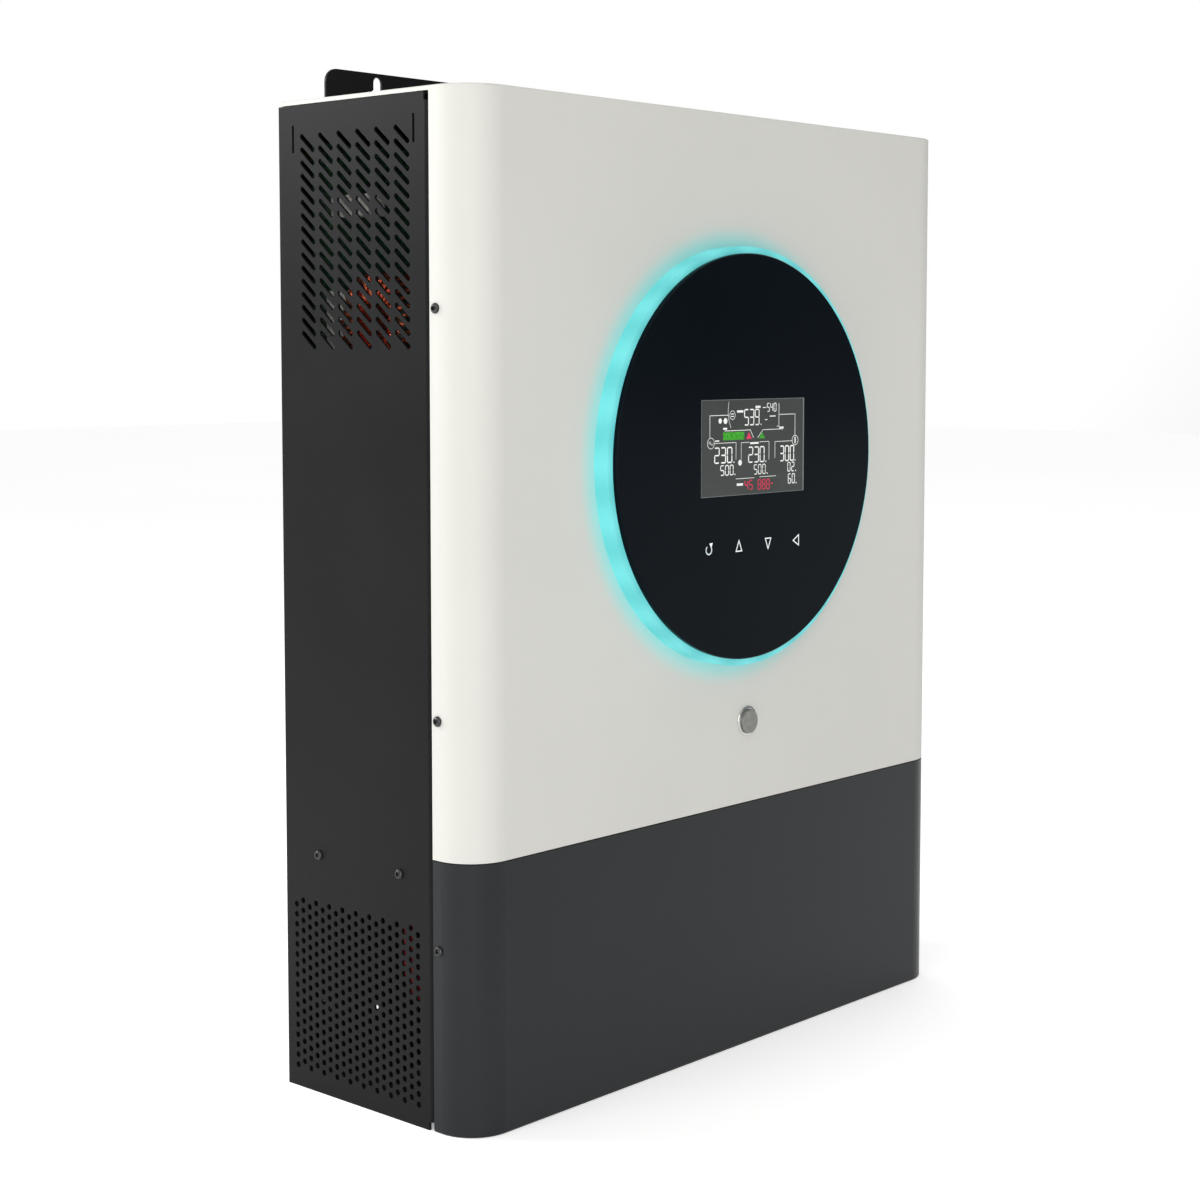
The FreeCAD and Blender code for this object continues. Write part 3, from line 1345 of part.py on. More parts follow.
# ---------------------------------------------------------------------------
# Check the document and write one file per sub-part
# ---------------------------------------------------------------------------
doc.recompute()
for item in doc.Objects:
    faults = [word for word in item.State if word in ("Invalid", "Error")]
    if faults:
        raise ValueError(f"{item.Label} ({item.TypeId}) is {faults}")
for name, item in NODES.items():
    if item.Shape.isNull() or not item.Shape.isValid() or not item.Shape.Solids:
        raise ValueError(f"{name} has no valid solid")
os.makedirs("parts", exist_ok=True)
for name, item in NODES.items():
    item.Shape.exportStep(f"parts/{name}.step")
print(f"{len(NODES)} sub-parts written")
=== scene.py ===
import math

import bmesh
import bpy
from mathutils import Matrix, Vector


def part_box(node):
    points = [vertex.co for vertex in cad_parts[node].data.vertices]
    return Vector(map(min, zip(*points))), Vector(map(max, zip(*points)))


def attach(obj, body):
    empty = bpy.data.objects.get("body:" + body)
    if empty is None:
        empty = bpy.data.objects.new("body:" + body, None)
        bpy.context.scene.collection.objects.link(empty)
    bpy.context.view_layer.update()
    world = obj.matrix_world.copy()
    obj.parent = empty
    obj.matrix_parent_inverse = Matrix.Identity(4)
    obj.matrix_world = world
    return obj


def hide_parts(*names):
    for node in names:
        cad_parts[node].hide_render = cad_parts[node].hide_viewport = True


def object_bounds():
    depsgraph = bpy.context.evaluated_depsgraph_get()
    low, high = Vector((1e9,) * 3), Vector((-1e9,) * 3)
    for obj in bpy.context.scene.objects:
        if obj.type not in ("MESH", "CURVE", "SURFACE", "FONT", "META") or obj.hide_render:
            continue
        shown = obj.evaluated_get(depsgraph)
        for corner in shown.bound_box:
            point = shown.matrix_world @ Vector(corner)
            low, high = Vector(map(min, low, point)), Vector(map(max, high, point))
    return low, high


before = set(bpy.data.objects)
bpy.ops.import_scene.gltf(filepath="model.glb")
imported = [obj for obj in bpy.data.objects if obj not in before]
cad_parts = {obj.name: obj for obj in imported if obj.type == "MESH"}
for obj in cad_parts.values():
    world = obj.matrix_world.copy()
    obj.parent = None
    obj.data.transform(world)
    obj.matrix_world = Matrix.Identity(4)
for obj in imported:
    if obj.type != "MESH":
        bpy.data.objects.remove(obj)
cad_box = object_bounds()


# ----------------------------------------------------------------------------
# Chassis sheets
# Rear sheet with the wall flange, two vented sides, top, bottom and fan shelf,
# all bent from 1.5 mm steel and powder coated in satin black with a fine
# orange-peel grain.
# ----------------------------------------------------------------------------
def shaded_finish(name, shades, drift, roughness, metallic=0.0, specular=0.5):
    """A finish whose shade drifts slowly between two colours over the surface."""
    finish = bpy.data.materials.new(name)
    finish.use_nodes = True
    tree = finish.node_tree
    shader = tree.nodes["Principled BSDF"]
    shader.inputs["Metallic"].default_value = metallic
    shader.inputs["Specular IOR Level"].default_value = specular
    place = tree.nodes.new("ShaderNodeTexCoord")
    cloud = tree.nodes.new("ShaderNodeTexNoise")
    cloud.inputs["Scale"].default_value = drift
    cloud.inputs["Detail"].default_value = 4.0
    tree.links.new(place.outputs["Object"], cloud.inputs["Vector"])
    ramp = tree.nodes.new("ShaderNodeValToRGB")
    ramp.color_ramp.elements[0].position = 0.32
    ramp.color_ramp.elements[1].position = 0.68
    for stop, shade in zip(ramp.color_ramp.elements, shades):
        stop.color = (*shade, 1.0)
    tree.links.new(cloud.outputs["Fac"], ramp.inputs["Fac"])
    tree.links.new(ramp.outputs["Color"], shader.inputs["Base Color"])
    spread = tree.nodes.new("ShaderNodeMapRange")
    spread.inputs["To Min"].default_value = roughness[0]
    spread.inputs["To Max"].default_value = roughness[1]
    tree.links.new(cloud.outputs["Fac"], spread.inputs["Value"])
    tree.links.new(spread.outputs["Result"], shader.inputs["Roughness"])
    return finish


def raise_grain(finish, size, depth, stretch=(1.0, 1.0, 1.0)):
    """Raised grain or brush lines of a size in metres, longer where stretch is small."""
    tree = finish.node_tree
    shader = tree.nodes["Principled BSDF"]
    place = tree.nodes.new("ShaderNodeTexCoord")
    along = tree.nodes.new("ShaderNodeMapping")
    along.inputs["Scale"].default_value = stretch
    tree.links.new(place.outputs["Object"], along.inputs["Vector"])
    grain = tree.nodes.new("ShaderNodeTexNoise")
    grain.inputs["Scale"].default_value = 1.0 / size
    grain.inputs["Detail"].default_value = 3.0
    tree.links.new(along.outputs["Vector"], grain.inputs["Vector"])
    bump = tree.nodes.new("ShaderNodeBump")
    bump.inputs["Strength"].default_value = 0.6
    bump.inputs["Distance"].default_value = depth
    tree.links.new(grain.outputs["Fac"], bump.inputs["Height"])
    tree.links.new(bump.outputs["Normal"], shader.inputs["Normal"])
    return finish


def coat(finish, *names):
    """Give CAD sub-parts their finish."""
    for name in names:
        part = cad_parts[name]
        part.data.materials.clear()
        part.data.materials.append(finish)


powder_black = shaded_finish(
    "satin_black_powder_coat",
    ((0.0062, 0.0064, 0.0070), (0.0088, 0.0091, 0.0098)),
    drift=9.0, roughness=(0.38, 0.48), specular=0.10,
)
raise_grain(powder_black, size=0.0011, depth=0.00006)
coat(powder_black, "rear_panel", "left_side_panel", "right_side_panel", "top_panel", "bottom_panel",
     "fan_shelf", "cover_brackets")


# ----------------------------------------------------------------------------
# Covers
# The off-white front cover and the charcoal lower cover are moulded shells
# with 24 mm corners, both in a fine matt paint.
# ----------------------------------------------------------------------------
cover_white = shaded_finish(
    "off_white_cover_paint_and_painted_ring_glow",
    ((0.565, 0.563, 0.530), (0.592, 0.590, 0.556)),
    drift=5.0, roughness=(0.46, 0.56), specular=0.35,
)
raise_grain(cover_white, size=0.0006, depth=0.00003)

# Painted light: the lit ring's turquoise glow on the cover is painted into the paint around the display, as
# a turquoise tint of its colour and a turquoise emission that fade out within 14 mm past the ring
PAINTED_POOL_REACH = 0.014
PAINTED_POOL_TINT = 0.50
PAINTED_POOL_GLOW = 0.32
tree = cover_white.node_tree
shader = tree.nodes["Principled BSDF"]
ramp = next(node for node in tree.nodes if node.type == "VALTORGB")
ring_low, ring_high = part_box("light_ring")
place = tree.nodes.new("ShaderNodeTexCoord")
centred = tree.nodes.new("ShaderNodeVectorMath")
centred.operation = "SUBTRACT"
centred.inputs[1].default_value = (0.0, 0.0, (ring_low.z + ring_high.z) / 2)
tree.links.new(place.outputs["Object"], centred.inputs[0])
flat = tree.nodes.new("ShaderNodeVectorMath")
flat.operation = "MULTIPLY"
flat.inputs[1].default_value = (1.0, 0.0, 1.0)
tree.links.new(centred.outputs["Vector"], flat.inputs[0])
reach = tree.nodes.new("ShaderNodeVectorMath")
reach.operation = "LENGTH"
tree.links.new(flat.outputs["Vector"], reach.inputs[0])
painted_pool = tree.nodes.new("ShaderNodeMapRange")
painted_pool.interpolation_type = "SMOOTHSTEP"
painted_pool.inputs["From Min"].default_value = ring_high.x
painted_pool.inputs["From Max"].default_value = ring_high.x + PAINTED_POOL_REACH
painted_pool.inputs["To Min"].default_value = PAINTED_POOL_TINT
painted_pool.inputs["To Max"].default_value = 0.0
tree.links.new(reach.outputs["Value"], painted_pool.inputs["Value"])
painted_pool_colour = tree.nodes.new("ShaderNodeMix")
painted_pool_colour.data_type = "RGBA"
# Turquoise colour of the painted light pool
painted_pool_colour.inputs[7].default_value = (0.16, 0.56, 0.55, 1.0)
tree.links.new(painted_pool.outputs["Result"], painted_pool_colour.inputs[0])
tree.links.new(ramp.outputs["Color"], painted_pool_colour.inputs[6])
tree.links.new(painted_pool_colour.outputs[2], shader.inputs["Base Color"])
# Turquoise emission of the painted light pool, painted glow and not a lamp
shader.inputs["Emission Color"].default_value = (0.02, 0.60, 0.60, 1.0)
painted_pool_glow = tree.nodes.new("ShaderNodeMath")
painted_pool_glow.operation = "MULTIPLY"
painted_pool_glow.inputs[1].default_value = PAINTED_POOL_GLOW
tree.links.new(painted_pool.outputs["Result"], painted_pool_glow.inputs[0])
tree.links.new(painted_pool_glow.outputs["Value"], shader.inputs["Emission Strength"])
coat(cover_white, "front_cover")

cover_charcoal = shaded_finish(
    "charcoal_cover_paint",
    ((0.0120, 0.0140, 0.0155), (0.0145, 0.0165, 0.0180)),
    drift=6.0, roughness=(0.27, 0.34), specular=0.20,
)
raise_grain(cover_charcoal, size=0.0006, depth=0.00003)
coat(cover_charcoal, "lower_cover")


# ----------------------------------------------------------------------------
# Case screws
# Ten black oxide pan-head screws, six through the covers' side returns and
# four through the sides into the fan shelf. Each head is domed with a hexagon
# socket.
# ----------------------------------------------------------------------------
def mesh_piece(name, mesh_data, finish, body="housing"):
    """Put a made mesh in the scene as a piece that rides on a body."""
    mesh = bpy.data.meshes.new(name)
    bmesh.ops.recalc_face_normals(mesh_data, faces=mesh_data.faces)
    mesh_data.to_mesh(mesh)
    mesh_data.free()
    piece = bpy.data.objects.new(name, mesh)
    bpy.context.scene.collection.objects.link(piece)
    mesh.materials.append(finish)
    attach(piece, body)
    return piece


def turn_profile(made, profile, centre, along, across, steps=48, shape=None):
    """Turn a profile of (radius, distance along the axis) about an axis.

    shape may change a ring's radius with the angle, as for a socket's flats.
    """
    side = along.cross(across)
    rings = []
    for index, (radius, reach) in enumerate(profile):
        if radius == 0.0:
            rings.append([made.verts.new(centre + along * reach)])
            continue
        ring = []
        for step in range(steps):
            angle = 2 * math.pi * step / steps
            r = shape(index, radius, angle) if shape else radius
            ring.append(made.verts.new(
                centre + along * reach + across * (r * math.cos(angle)) + side * (r * math.sin(angle))
            ))
        rings.append(ring)
    for low, high in zip(rings, rings[1:]):
        for step in range(steps):
            after = (step + 1) % steps
            if len(low) == 1:
                made.faces.new((low[0], high[step], high[after]))
            elif len(high) == 1:
                made.faces.new((low[step], high[0], low[after]))
            else:
                made.faces.new((low[step], high[step], high[after], low[after]))


# Shank, rim, dome and socket of a screw as (radius, reach)
SCREW_HEAD = (
    (0.0, -0.008), (0.0014, -0.008), (0.0015, -0.0076), (0.0015, 0.0), (0.0028, 0.0), (0.0028, 0.0005),
    (0.00265, 0.0010), (0.0023, 0.0014), (0.0017, 0.0017), (0.00135, 0.0018), (0.0012, 0.0017),
    (0.0011, 0.0008), (0.0, 0.0007),
)


SOCKET_STARTS = 10
SOCKET_FLATS = 0.93
COVER_SCREW_DEPTH = -0.1245
COVER_SCREW_HEIGHTS = (0.1619, -0.0545, -0.1776)
SHELF_SCREW_DEPTHS = (-0.028, -0.094)
SHELF_SCREW_DROP = 0.009


def hexagon_socket(index, radius, angle):
    """The last rings of a screw head follow a hexagon."""
    if index < SOCKET_STARTS:
        return radius
    within = (angle % (math.pi / 3)) - math.pi / 6
    return radius * SOCKET_FLATS / math.cos(within)


screws = bmesh.new()
cover_low, cover_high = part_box("front_cover")
shelf_screw_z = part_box("fan_shelf")[1].z - SHELF_SCREW_DROP
for side in (-1, 1):
    outward = Vector((side, 0, 0))
    spots = [(COVER_SCREW_DEPTH, z) for z in COVER_SCREW_HEIGHTS]
    spots += [(y, shelf_screw_z) for y in SHELF_SCREW_DEPTHS]
    for y, z in spots:
        seat = Vector((side * cover_high.x, y, z))
        turn_profile(screws, SCREW_HEAD, seat, outward, Vector((0, 0, 1)), steps=24, shape=hexagon_socket)
black_oxide = shaded_finish(
    "black_oxide_screw_steel", ((0.03, 0.03, 0.032), (0.07, 0.07, 0.072)),
    drift=900.0, roughness=(0.25, 0.42), metallic=0.8,
)
raise_grain(black_oxide, size=0.0003, depth=0.00002)
screw_heads = mesh_piece("case_screw_set", screws, black_oxide)
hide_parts("case_screws")


# ----------------------------------------------------------------------------
# Round display
# A 236 mm disc of smoked glass with a ground edge on a lit ring. The keys are
# printed on the glass and the segment picture shines through its window.
# ----------------------------------------------------------------------------
smoked_glass = shaded_finish(
    "smoked_display_glass", ((0.0022, 0.0042, 0.0066), (0.0030, 0.0052, 0.0078)),
    drift=7.0, roughness=(0.12, 0.18), specular=0.04,
)
raise_grain(smoked_glass, size=0.02, depth=0.00001)
coat(smoked_glass, "display_lens")

glass_low, glass_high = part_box("display_lens")
GLASS_FACE = glass_low.y
DISC_Z = (glass_low.z + glass_high.z) / 2
PICTURE_X = 0.0020
PICTURE_Z = 0.0842
PICTURE_WIDTH = 0.0965
PICTURE_HEIGHT = 0.0555


def lit_finish(name, colour, strength, fade, drift=60.0):
    """A lit mark whose glow is uneven, as a segment lamp's is."""
    finish = shaded_finish(name, (colour, tuple(fade * c for c in colour)), drift, (0.3, 0.4), specular=0.2)
    tree = finish.node_tree
    shader = tree.nodes["Principled BSDF"]
    ramp = next(node for node in tree.nodes if node.type == "VALTORGB")
    tree.links.new(ramp.outputs["Color"], shader.inputs["Emission Color"])
    shader.inputs["Emission Strength"].default_value = strength
    return finish


def raise_mark(made, outline, layer, thickness=0.00004):
    """A thin raised mark on the glass from an outline in (x, z) millimetres."""
    face_y = GLASS_FACE - layer
    back = [made.verts.new((PICTURE_X + x / 1000, face_y, PICTURE_Z + z / 1000)) for x, z in outline]
    front = [made.verts.new((v.co.x, face_y - thickness, v.co.z)) for v in back]
    made.faces.new(front)
    made.faces.new(back[::-1])
    count = len(outline)
    for i in range(count):
        after = (i + 1) % count
        made.faces.new((back[i], back[after], front[after], front[i]))


def block(x0, z0, x1, z1):
    return [(x0, z0), (x1, z0), (x1, z1), (x0, z1)]


def stroke(points, width):
    """Straight strokes through points, each a thin bar with its ends run on."""
    bars = []
    for (x0, z0), (x1, z1) in zip(points, points[1:]):
        length = math.hypot(x1 - x0, z1 - z0)
        along = ((x1 - x0) / length * width / 2, (z1 - z0) / length * width / 2)
        across = (-along[1], along[0])
        bars.append([
            (x0 - along[0] + across[0], z0 - along[1] + across[1]),
            (x0 - along[0] - across[0], z0 - along[1] - across[1]),
            (x1 + along[0] - across[0], z1 + along[1] - across[1]),
            (x1 + along[0] + across[0], z1 + along[1] + across[1]),
        ])
    return bars


def arc(x, z, radius, start, end, steps=24):
    """Points on part of a circle, angles in degrees."""
    sweep = [math.radians(start + (end - start) * i / steps) for i in range(steps + 1)]
    return [(x + radius * math.cos(a), z + radius * math.sin(a)) for a in sweep]


# The bars that each digit lights, in the order top, upper right, lower right,
# bottom, lower left, upper left, middle
LIT_BARS = {
    "0": "1111110", "1": "0110000", "2": "1101101", "3": "1111001", "4": "0110011",
    "5": "1011011", "6": "1011111", "7": "1110000", "8": "1111111", "9": "1111011", "-": "0000001",
}


def digit(mark, x, z, width, height, bar):
    """Seven-bar digit with its lower left corner at x, z."""
    half = bar / 2
    gap = bar * 0.12
    left, right = x + half, x + width - half
    low, high = z + half, z + height - half
    middle = (low + high) / 2
    ends = (
        ((left, high), (right, high)), ((right, middle), (right, high)), ((right, low), (right, middle)),
        ((left, low), (right, low)), ((left, low), (left, middle)), ((left, middle), (left, high)),
        ((left, middle), (right, middle)),
    )
    bars = []
    for lit, ((x0, z0), (x1, z1)) in zip(LIT_BARS[mark], ends):
        if lit == "0":
            continue
        if z0 == z1:
            x0, x1 = x0 + gap, x1 - gap
            bars.append([(x0, z0), (x0 + half, z0 - half), (x1 - half, z0 - half), (x1, z0),
                         (x1 - half, z0 + half), (x0 + half, z0 + half)])
        else:
            z0, z1 = z0 + gap, z1 - gap
            bars.append([(x0, z0), (x0 + half, z0 + half), (x0 + half, z1 - half), (x0, z1),
                         (x0 - half, z1 - half), (x0 - half, z0 + half)])
    return bars


def number(text, x, z, width, height, pitch, bar):
    marks = []
    for place, mark in enumerate(text):
        marks += digit(mark, x + place * pitch, z, width, height, bar)
    return marks


window = bmesh.new()
half_w, half_h = PICTURE_WIDTH * 500, PICTURE_HEIGHT * 500
raise_mark(window, block(-half_w, -half_h, half_w, half_h), layer=0.00002)
window_finish = shaded_finish(
    "display_window_film", ((0.036, 0.042, 0.040), (0.046, 0.052, 0.049)),
    drift=26.0, roughness=(0.28, 0.34), specular=0.3,
)
raise_grain(window_finish, size=0.0004, depth=0.000004)
mesh_piece("display_window", window, window_finish)

RIGHT_EDGE = 1.1
THIN_EDGE = 0.3
frame_bars = bmesh.new()
for outline in (
    block(half_w - RIGHT_EDGE, -half_h, half_w, half_h),
    block(-half_w, half_h - THIN_EDGE, half_w - RIGHT_EDGE, half_h),
    block(-half_w, -half_h, -half_w + THIN_EDGE, half_h - THIN_EDGE),
    block(-half_w + THIN_EDGE, -half_h, half_w - RIGHT_EDGE, -half_h + THIN_EDGE),
):
    raise_mark(frame_bars, outline, layer=0.00007)
frame_finish = shaded_finish(
    "display_window_edge", ((0.13, 0.15, 0.15), (0.17, 0.19, 0.19)),
    drift=40.0, roughness=(0.3, 0.4),
)
mesh_piece("display_window_edge", frame_bars, frame_finish)

white_marks = []
white_marks += number("539", -9.3, 12.4, 4.4, 9.6, 5.0, 0.75)
white_marks += number("540", 12.2, 20.0, 2.6, 5.2, 3.2, 0.5)
white_marks += number("230", -36.6, -8.8, 4.9, 9.4, 5.8, 0.8)
white_marks += number("500", -31.0, -15.9, 3.5, 6.1, 4.3, 0.6)
white_marks += number("230", -5.4, -9.4, 4.7, 9.5, 5.4, 0.8)
white_marks += number("500", 0.0, -16.4, 3.2, 6.0, 4.0, 0.6)
white_marks += number("300", 24.7, -9.7, 4.2, 9.5, 4.9, 0.8)
white_marks += number("02", 32.2, -16.0, 3.0, 5.8, 3.8, 0.6)
white_marks += number("60", 32.8, -23.2, 3.0, 6.1, 3.8, 0.6)
for tag in (
    (-15.9, 20.1, -10.1, 21.4), (1.3, 22.4, 6.0, 23.7), (8.2, 22.3, 11.4, 22.8),
    (-15.9, -22.3, -10.1, -20.9), (10.3, 15.2, 12.7, 15.7), (14.9, 17.1, 20.4, 17.7),
    (-28.6, 10.5, -25.0, 11.6), (24.0, 9.9, 28.2, 11.0), (-3.6, 1.5, 4.4, 2.6),
    (-35.8, 3.8, -32.2, 4.6), (6.2, 12.4, 7.0, 13.2), (-19.0, -8.8, -18.2, -8.0),
    (-18.0, -15.9, -17.2, -15.1), (10.9, -9.4, 11.7, -8.6), (12.2, -16.4, 13.0, -15.6),
    (39.2, -9.7, 40.0, -8.9), (39.9, -16.0, 40.7, -15.2), (40.5, -23.2, 41.3, -22.4),
):
    white_marks.append(block(*tag))
for points, width in (
    (((23.7, 24.7), (23.7, 11.3), (21.8, 11.3)), 0.35),
    (((24.6, 18.2), (39.4, 18.2), (39.4, 5.3)), 0.35),
    (((-23.9, 18.8), (-40.6, 18.8), (-40.6, 6.2)), 0.35),
    (((-23.4, 26.4), (-23.9, 23.4), (-24.1, 20.5), (-23.4, 16.0), (-21.6, 11.6)), 0.25),
    (((-27.1, 9.8), (-3.4, 9.8), (-0.5, 5.3)), 0.35),
    (((27.7, 9.6), (8.4, 9.6), (3.6, 5.2)), 0.35),
    (((-36.2, 2.9), (-16.7, 2.9), (-16.7, -6.8)), 0.3),
    (((-11.9, -7.0), (-11.9, 2.6), (-4.4, 2.6)), 0.3),
    (((5.4, 2.6), (14.3, 2.6), (14.3, -7.9)), 0.3),
    (((20.0, -7.2), (20.0, 2.3), (36.6, 2.3)), 0.3),
    (((-16.5, -18.2), (0.2, -18.2)), 0.3),
    (((5.6, -17.9), (21.1, -17.9)), 0.3),
    (arc(-20.1, 18.7, 2.5, 0, 360), 0.3),
    (arc(-39.6, 3.0, 3.1, 0, 360), 0.35),
    (arc(39.6, 2.6, 2.9, 0, 360), 0.35),
    (arc(-40.6, 3.0, 1.0, 0, 180, 8) + arc(-38.6, 3.0, 1.0, 180, 360, 8)[1:], 0.3),
    (((-21.3, 18.0), (-18.9, 18.0)), 0.5),
    (((-21.3, 19.4), (-18.9, 19.4)), 0.5),
    (((39.6, 1.2), (39.6, 4.0)), 1.0),
):
    white_marks += stroke(points, width)
for x, z, radius in ((-31.3, 15.6, 1.5), (-26.5, 15.5, 1.7), (-12.9, -8.9, 1.7)):
    white_marks.append(arc(x, z, radius, 0, 345, 23))

white_picture = bmesh.new()
for outline in white_marks:
    raise_mark(white_picture, outline, layer=0.00007)
white_lit = lit_finish("lit_white_segments", (0.62, 0.64, 0.62), 0.55, fade=0.8)
mesh_piece("display_white_segments", white_picture, white_lit)

green_picture = bmesh.new()
for outline in (block(-28.5, 4.4, -9.2, 9.0), [(5.0, 4.6), (10.4, 4.6), (7.6, 8.4)]):
    raise_mark(green_picture, outline, layer=0.00007)
for step in range(5):
    raise_mark(green_picture, block(-24.6 + step * 2.9, 5.6, -22.6 + step * 2.9, 7.9), layer=0.00011)
green_lit = lit_finish("lit_green_segments", (0.04, 0.30, 0.02), 0.6, fade=0.45, drift=700.0)
mesh_piece("display_green_segments", green_picture, green_lit)

red_marks = number("45", -8.6, -25.2, 3.4, 6.0, 4.3, 0.7) + number("888", 3.6, -25.6, 3.4, 6.4, 4.1, 0.75)
red_marks.append(block(16.2, -22.6, 18.2, -21.9))
red_marks.append([(-7.2, 4.6), (-2.2, 4.6), (-4.7, 8.6)])
red_picture = bmesh.new()
for outline in red_marks:
    raise_mark(red_picture, outline, layer=0.00007)
red_lit = lit_finish("lit_red_segments", (0.50, 0.030, 0.075), 0.75, fade=0.6)
mesh_piece("display_red_segments", red_picture, red_lit)

# The four touch keys, 27.5 mm apart: back, up, down and enter
key_marks = []
KEY_DROP = -57.4
key_x = [-41.0 + 27.5 * place for place in range(4)]
key_marks += stroke(arc(key_x[0], KEY_DROP - 0.5, 2.5, 140, 405, 30), 0.75)
arrow_head = ((0.3, 3.2), (3.4, 3.5), (2.2, 0.6))
key_marks.append([(key_x[0] + x, KEY_DROP + z) for x, z in arrow_head])
for x, flip in ((key_x[1], 1), (key_x[2], -1)):
    tip = (x, KEY_DROP + flip * 3.3)
    base = KEY_DROP - flip * 2.9
    key_marks += stroke((tip, (x - 2.7, base), (x + 2.7, base), tip), 0.7)
arrow = ((key_x[3] - 3.1, KEY_DROP), (key_x[3] + 2.3, KEY_DROP + 3.1), (key_x[3] + 2.3, KEY_DROP - 3.1))
key_marks += stroke((*arrow, arrow[0]), 0.7)
keys = bmesh.new()
for outline in key_marks:
    raise_mark(keys, outline, layer=0.00002)
key_print = lit_finish("lit_key_marks", (0.72, 0.75, 0.76), 0.35, fade=0.9)
mesh_piece("display_touch_keys", keys, key_print)


# ----------------------------------------------------------------------------
# Lit ring
# A frosted ring, 244 mm across and 10 mm deep, that carries the glass and shows
# 4 mm past its edge. Twenty-four turquoise lamps light it from the inside.
# ----------------------------------------------------------------------------
RING_LAMPS = 24.0
ring_frost = bpy.data.materials.new("frosted_turquoise_ring")
ring_frost.use_nodes = True
tree = ring_frost.node_tree
shader = tree.nodes["Principled BSDF"]
shader.inputs["Roughness"].default_value = 0.55
place = tree.nodes.new("ShaderNodeTexCoord")
offset = tree.nodes.new("ShaderNodeVectorMath")
offset.operation = "SUBTRACT"
offset.inputs[1].default_value = (0.0, 0.0, DISC_Z)
tree.links.new(place.outputs["Object"], offset.inputs[0])
apart = tree.nodes.new("ShaderNodeSeparateXYZ")
tree.links.new(offset.outputs["Vector"], apart.inputs["Vector"])
angle = tree.nodes.new("ShaderNodeMath")
angle.operation = "ARCTAN2"
tree.links.new(apart.outputs["Z"], angle.inputs[0])
tree.links.new(apart.outputs["X"], angle.inputs[1])
lamps = tree.nodes.new("ShaderNodeMath")
lamps.operation = "MULTIPLY"
lamps.inputs[1].default_value = RING_LAMPS
tree.links.new(angle.outputs["Value"], lamps.inputs[0])
wave = tree.nodes.new("ShaderNodeMath")
wave.operation = "COSINE"
tree.links.new(lamps.outputs["Value"], wave.inputs[0])
glow = tree.nodes.new("ShaderNodeMapRange")
glow.inputs["From Min"].default_value = -1.0
glow.inputs["To Min"].default_value = 0.0
glow.inputs["To Max"].default_value = 1.0
tree.links.new(wave.outputs["Value"], glow.inputs["Value"])
tint = tree.nodes.new("ShaderNodeValToRGB")
tint.color_ramp.elements[0].color = (0.090, 0.43, 0.44, 1.0)
tint.color_ramp.elements[1].color = (0.120, 0.50, 0.51, 1.0)
tree.links.new(glow.outputs["Result"], tint.inputs["Fac"])
tree.links.new(tint.outputs["Color"], shader.inputs["Base Color"])
tree.links.new(tint.outputs["Color"], shader.inputs["Emission Color"])
shader.inputs["Emission Strength"].default_value = 0.55
coat(ring_frost, "light_ring")


# ----------------------------------------------------------------------------
# Push button
# A turned steel collar with a bevelled rim, and a flat cap with a spun face
# that stands 2.9 mm proud of the cover and is pressed in.
# ----------------------------------------------------------------------------
cap_low, cap_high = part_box("button_cap")
button_axis = Vector(((cap_low.x + cap_high.x) / 2, cover_low.y, (cap_low.z + cap_high.z) / 2))
outward = Vector((0, -1, 0))
CAP_RADIUS = (cap_high.x - cap_low.x) / 2
CAP_PROUD = cover_low.y - cap_low.y
BORE = CAP_RADIUS + 0.00008
RIM = 0.0090
THREAD = 0.0080
BARREL = 0.0140
RIM_PROUD = 0.0010
STEM = 0.0030
COLLAR = (
    (BORE, -BARREL), (THREAD, -BARREL), (THREAD, 0.0), (RIM, 0.0), (RIM, 0.45 * RIM_PROUD),
    (RIM - 0.00015, 0.65 * RIM_PROUD), (THREAD - 0.0002, RIM_PROUD), (BORE + 0.00012, 0.98 * RIM_PROUD),
    (BORE, 0.8 * RIM_PROUD), (BORE, -BARREL),
)
CAP = (
    (0.0, -0.0180), (STEM - 0.0001, -0.0180), (STEM, -0.0050), (CAP_RADIUS, -0.0050),
    (CAP_RADIUS, CAP_PROUD - 0.00055), (CAP_RADIUS - 0.00015, CAP_PROUD - 0.0002),
    (CAP_RADIUS - 0.0004, CAP_PROUD - 0.00003), (CAP_RADIUS - 0.0008, CAP_PROUD),
    (CAP_RADIUS - 0.0012, CAP_PROUD - 0.00004), (STEM, CAP_PROUD - 0.00012), (0.0, CAP_PROUD - 0.00014),
)
collar = bmesh.new()
turn_profile(collar, COLLAR, button_axis, outward, Vector((1, 0, 0)), steps=96)
bmesh.ops.remove_doubles(collar, verts=collar.verts, dist=0.000001)
collar_steel = shaded_finish(
    "bright_collar_steel", ((0.50, 0.50, 0.48), (0.62, 0.62, 0.60)),
    drift=400.0, roughness=(0.2, 0.3), metallic=0.9,
)
collar_piece = mesh_piece("button_collar", collar, collar_steel)
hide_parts("button_barrel")

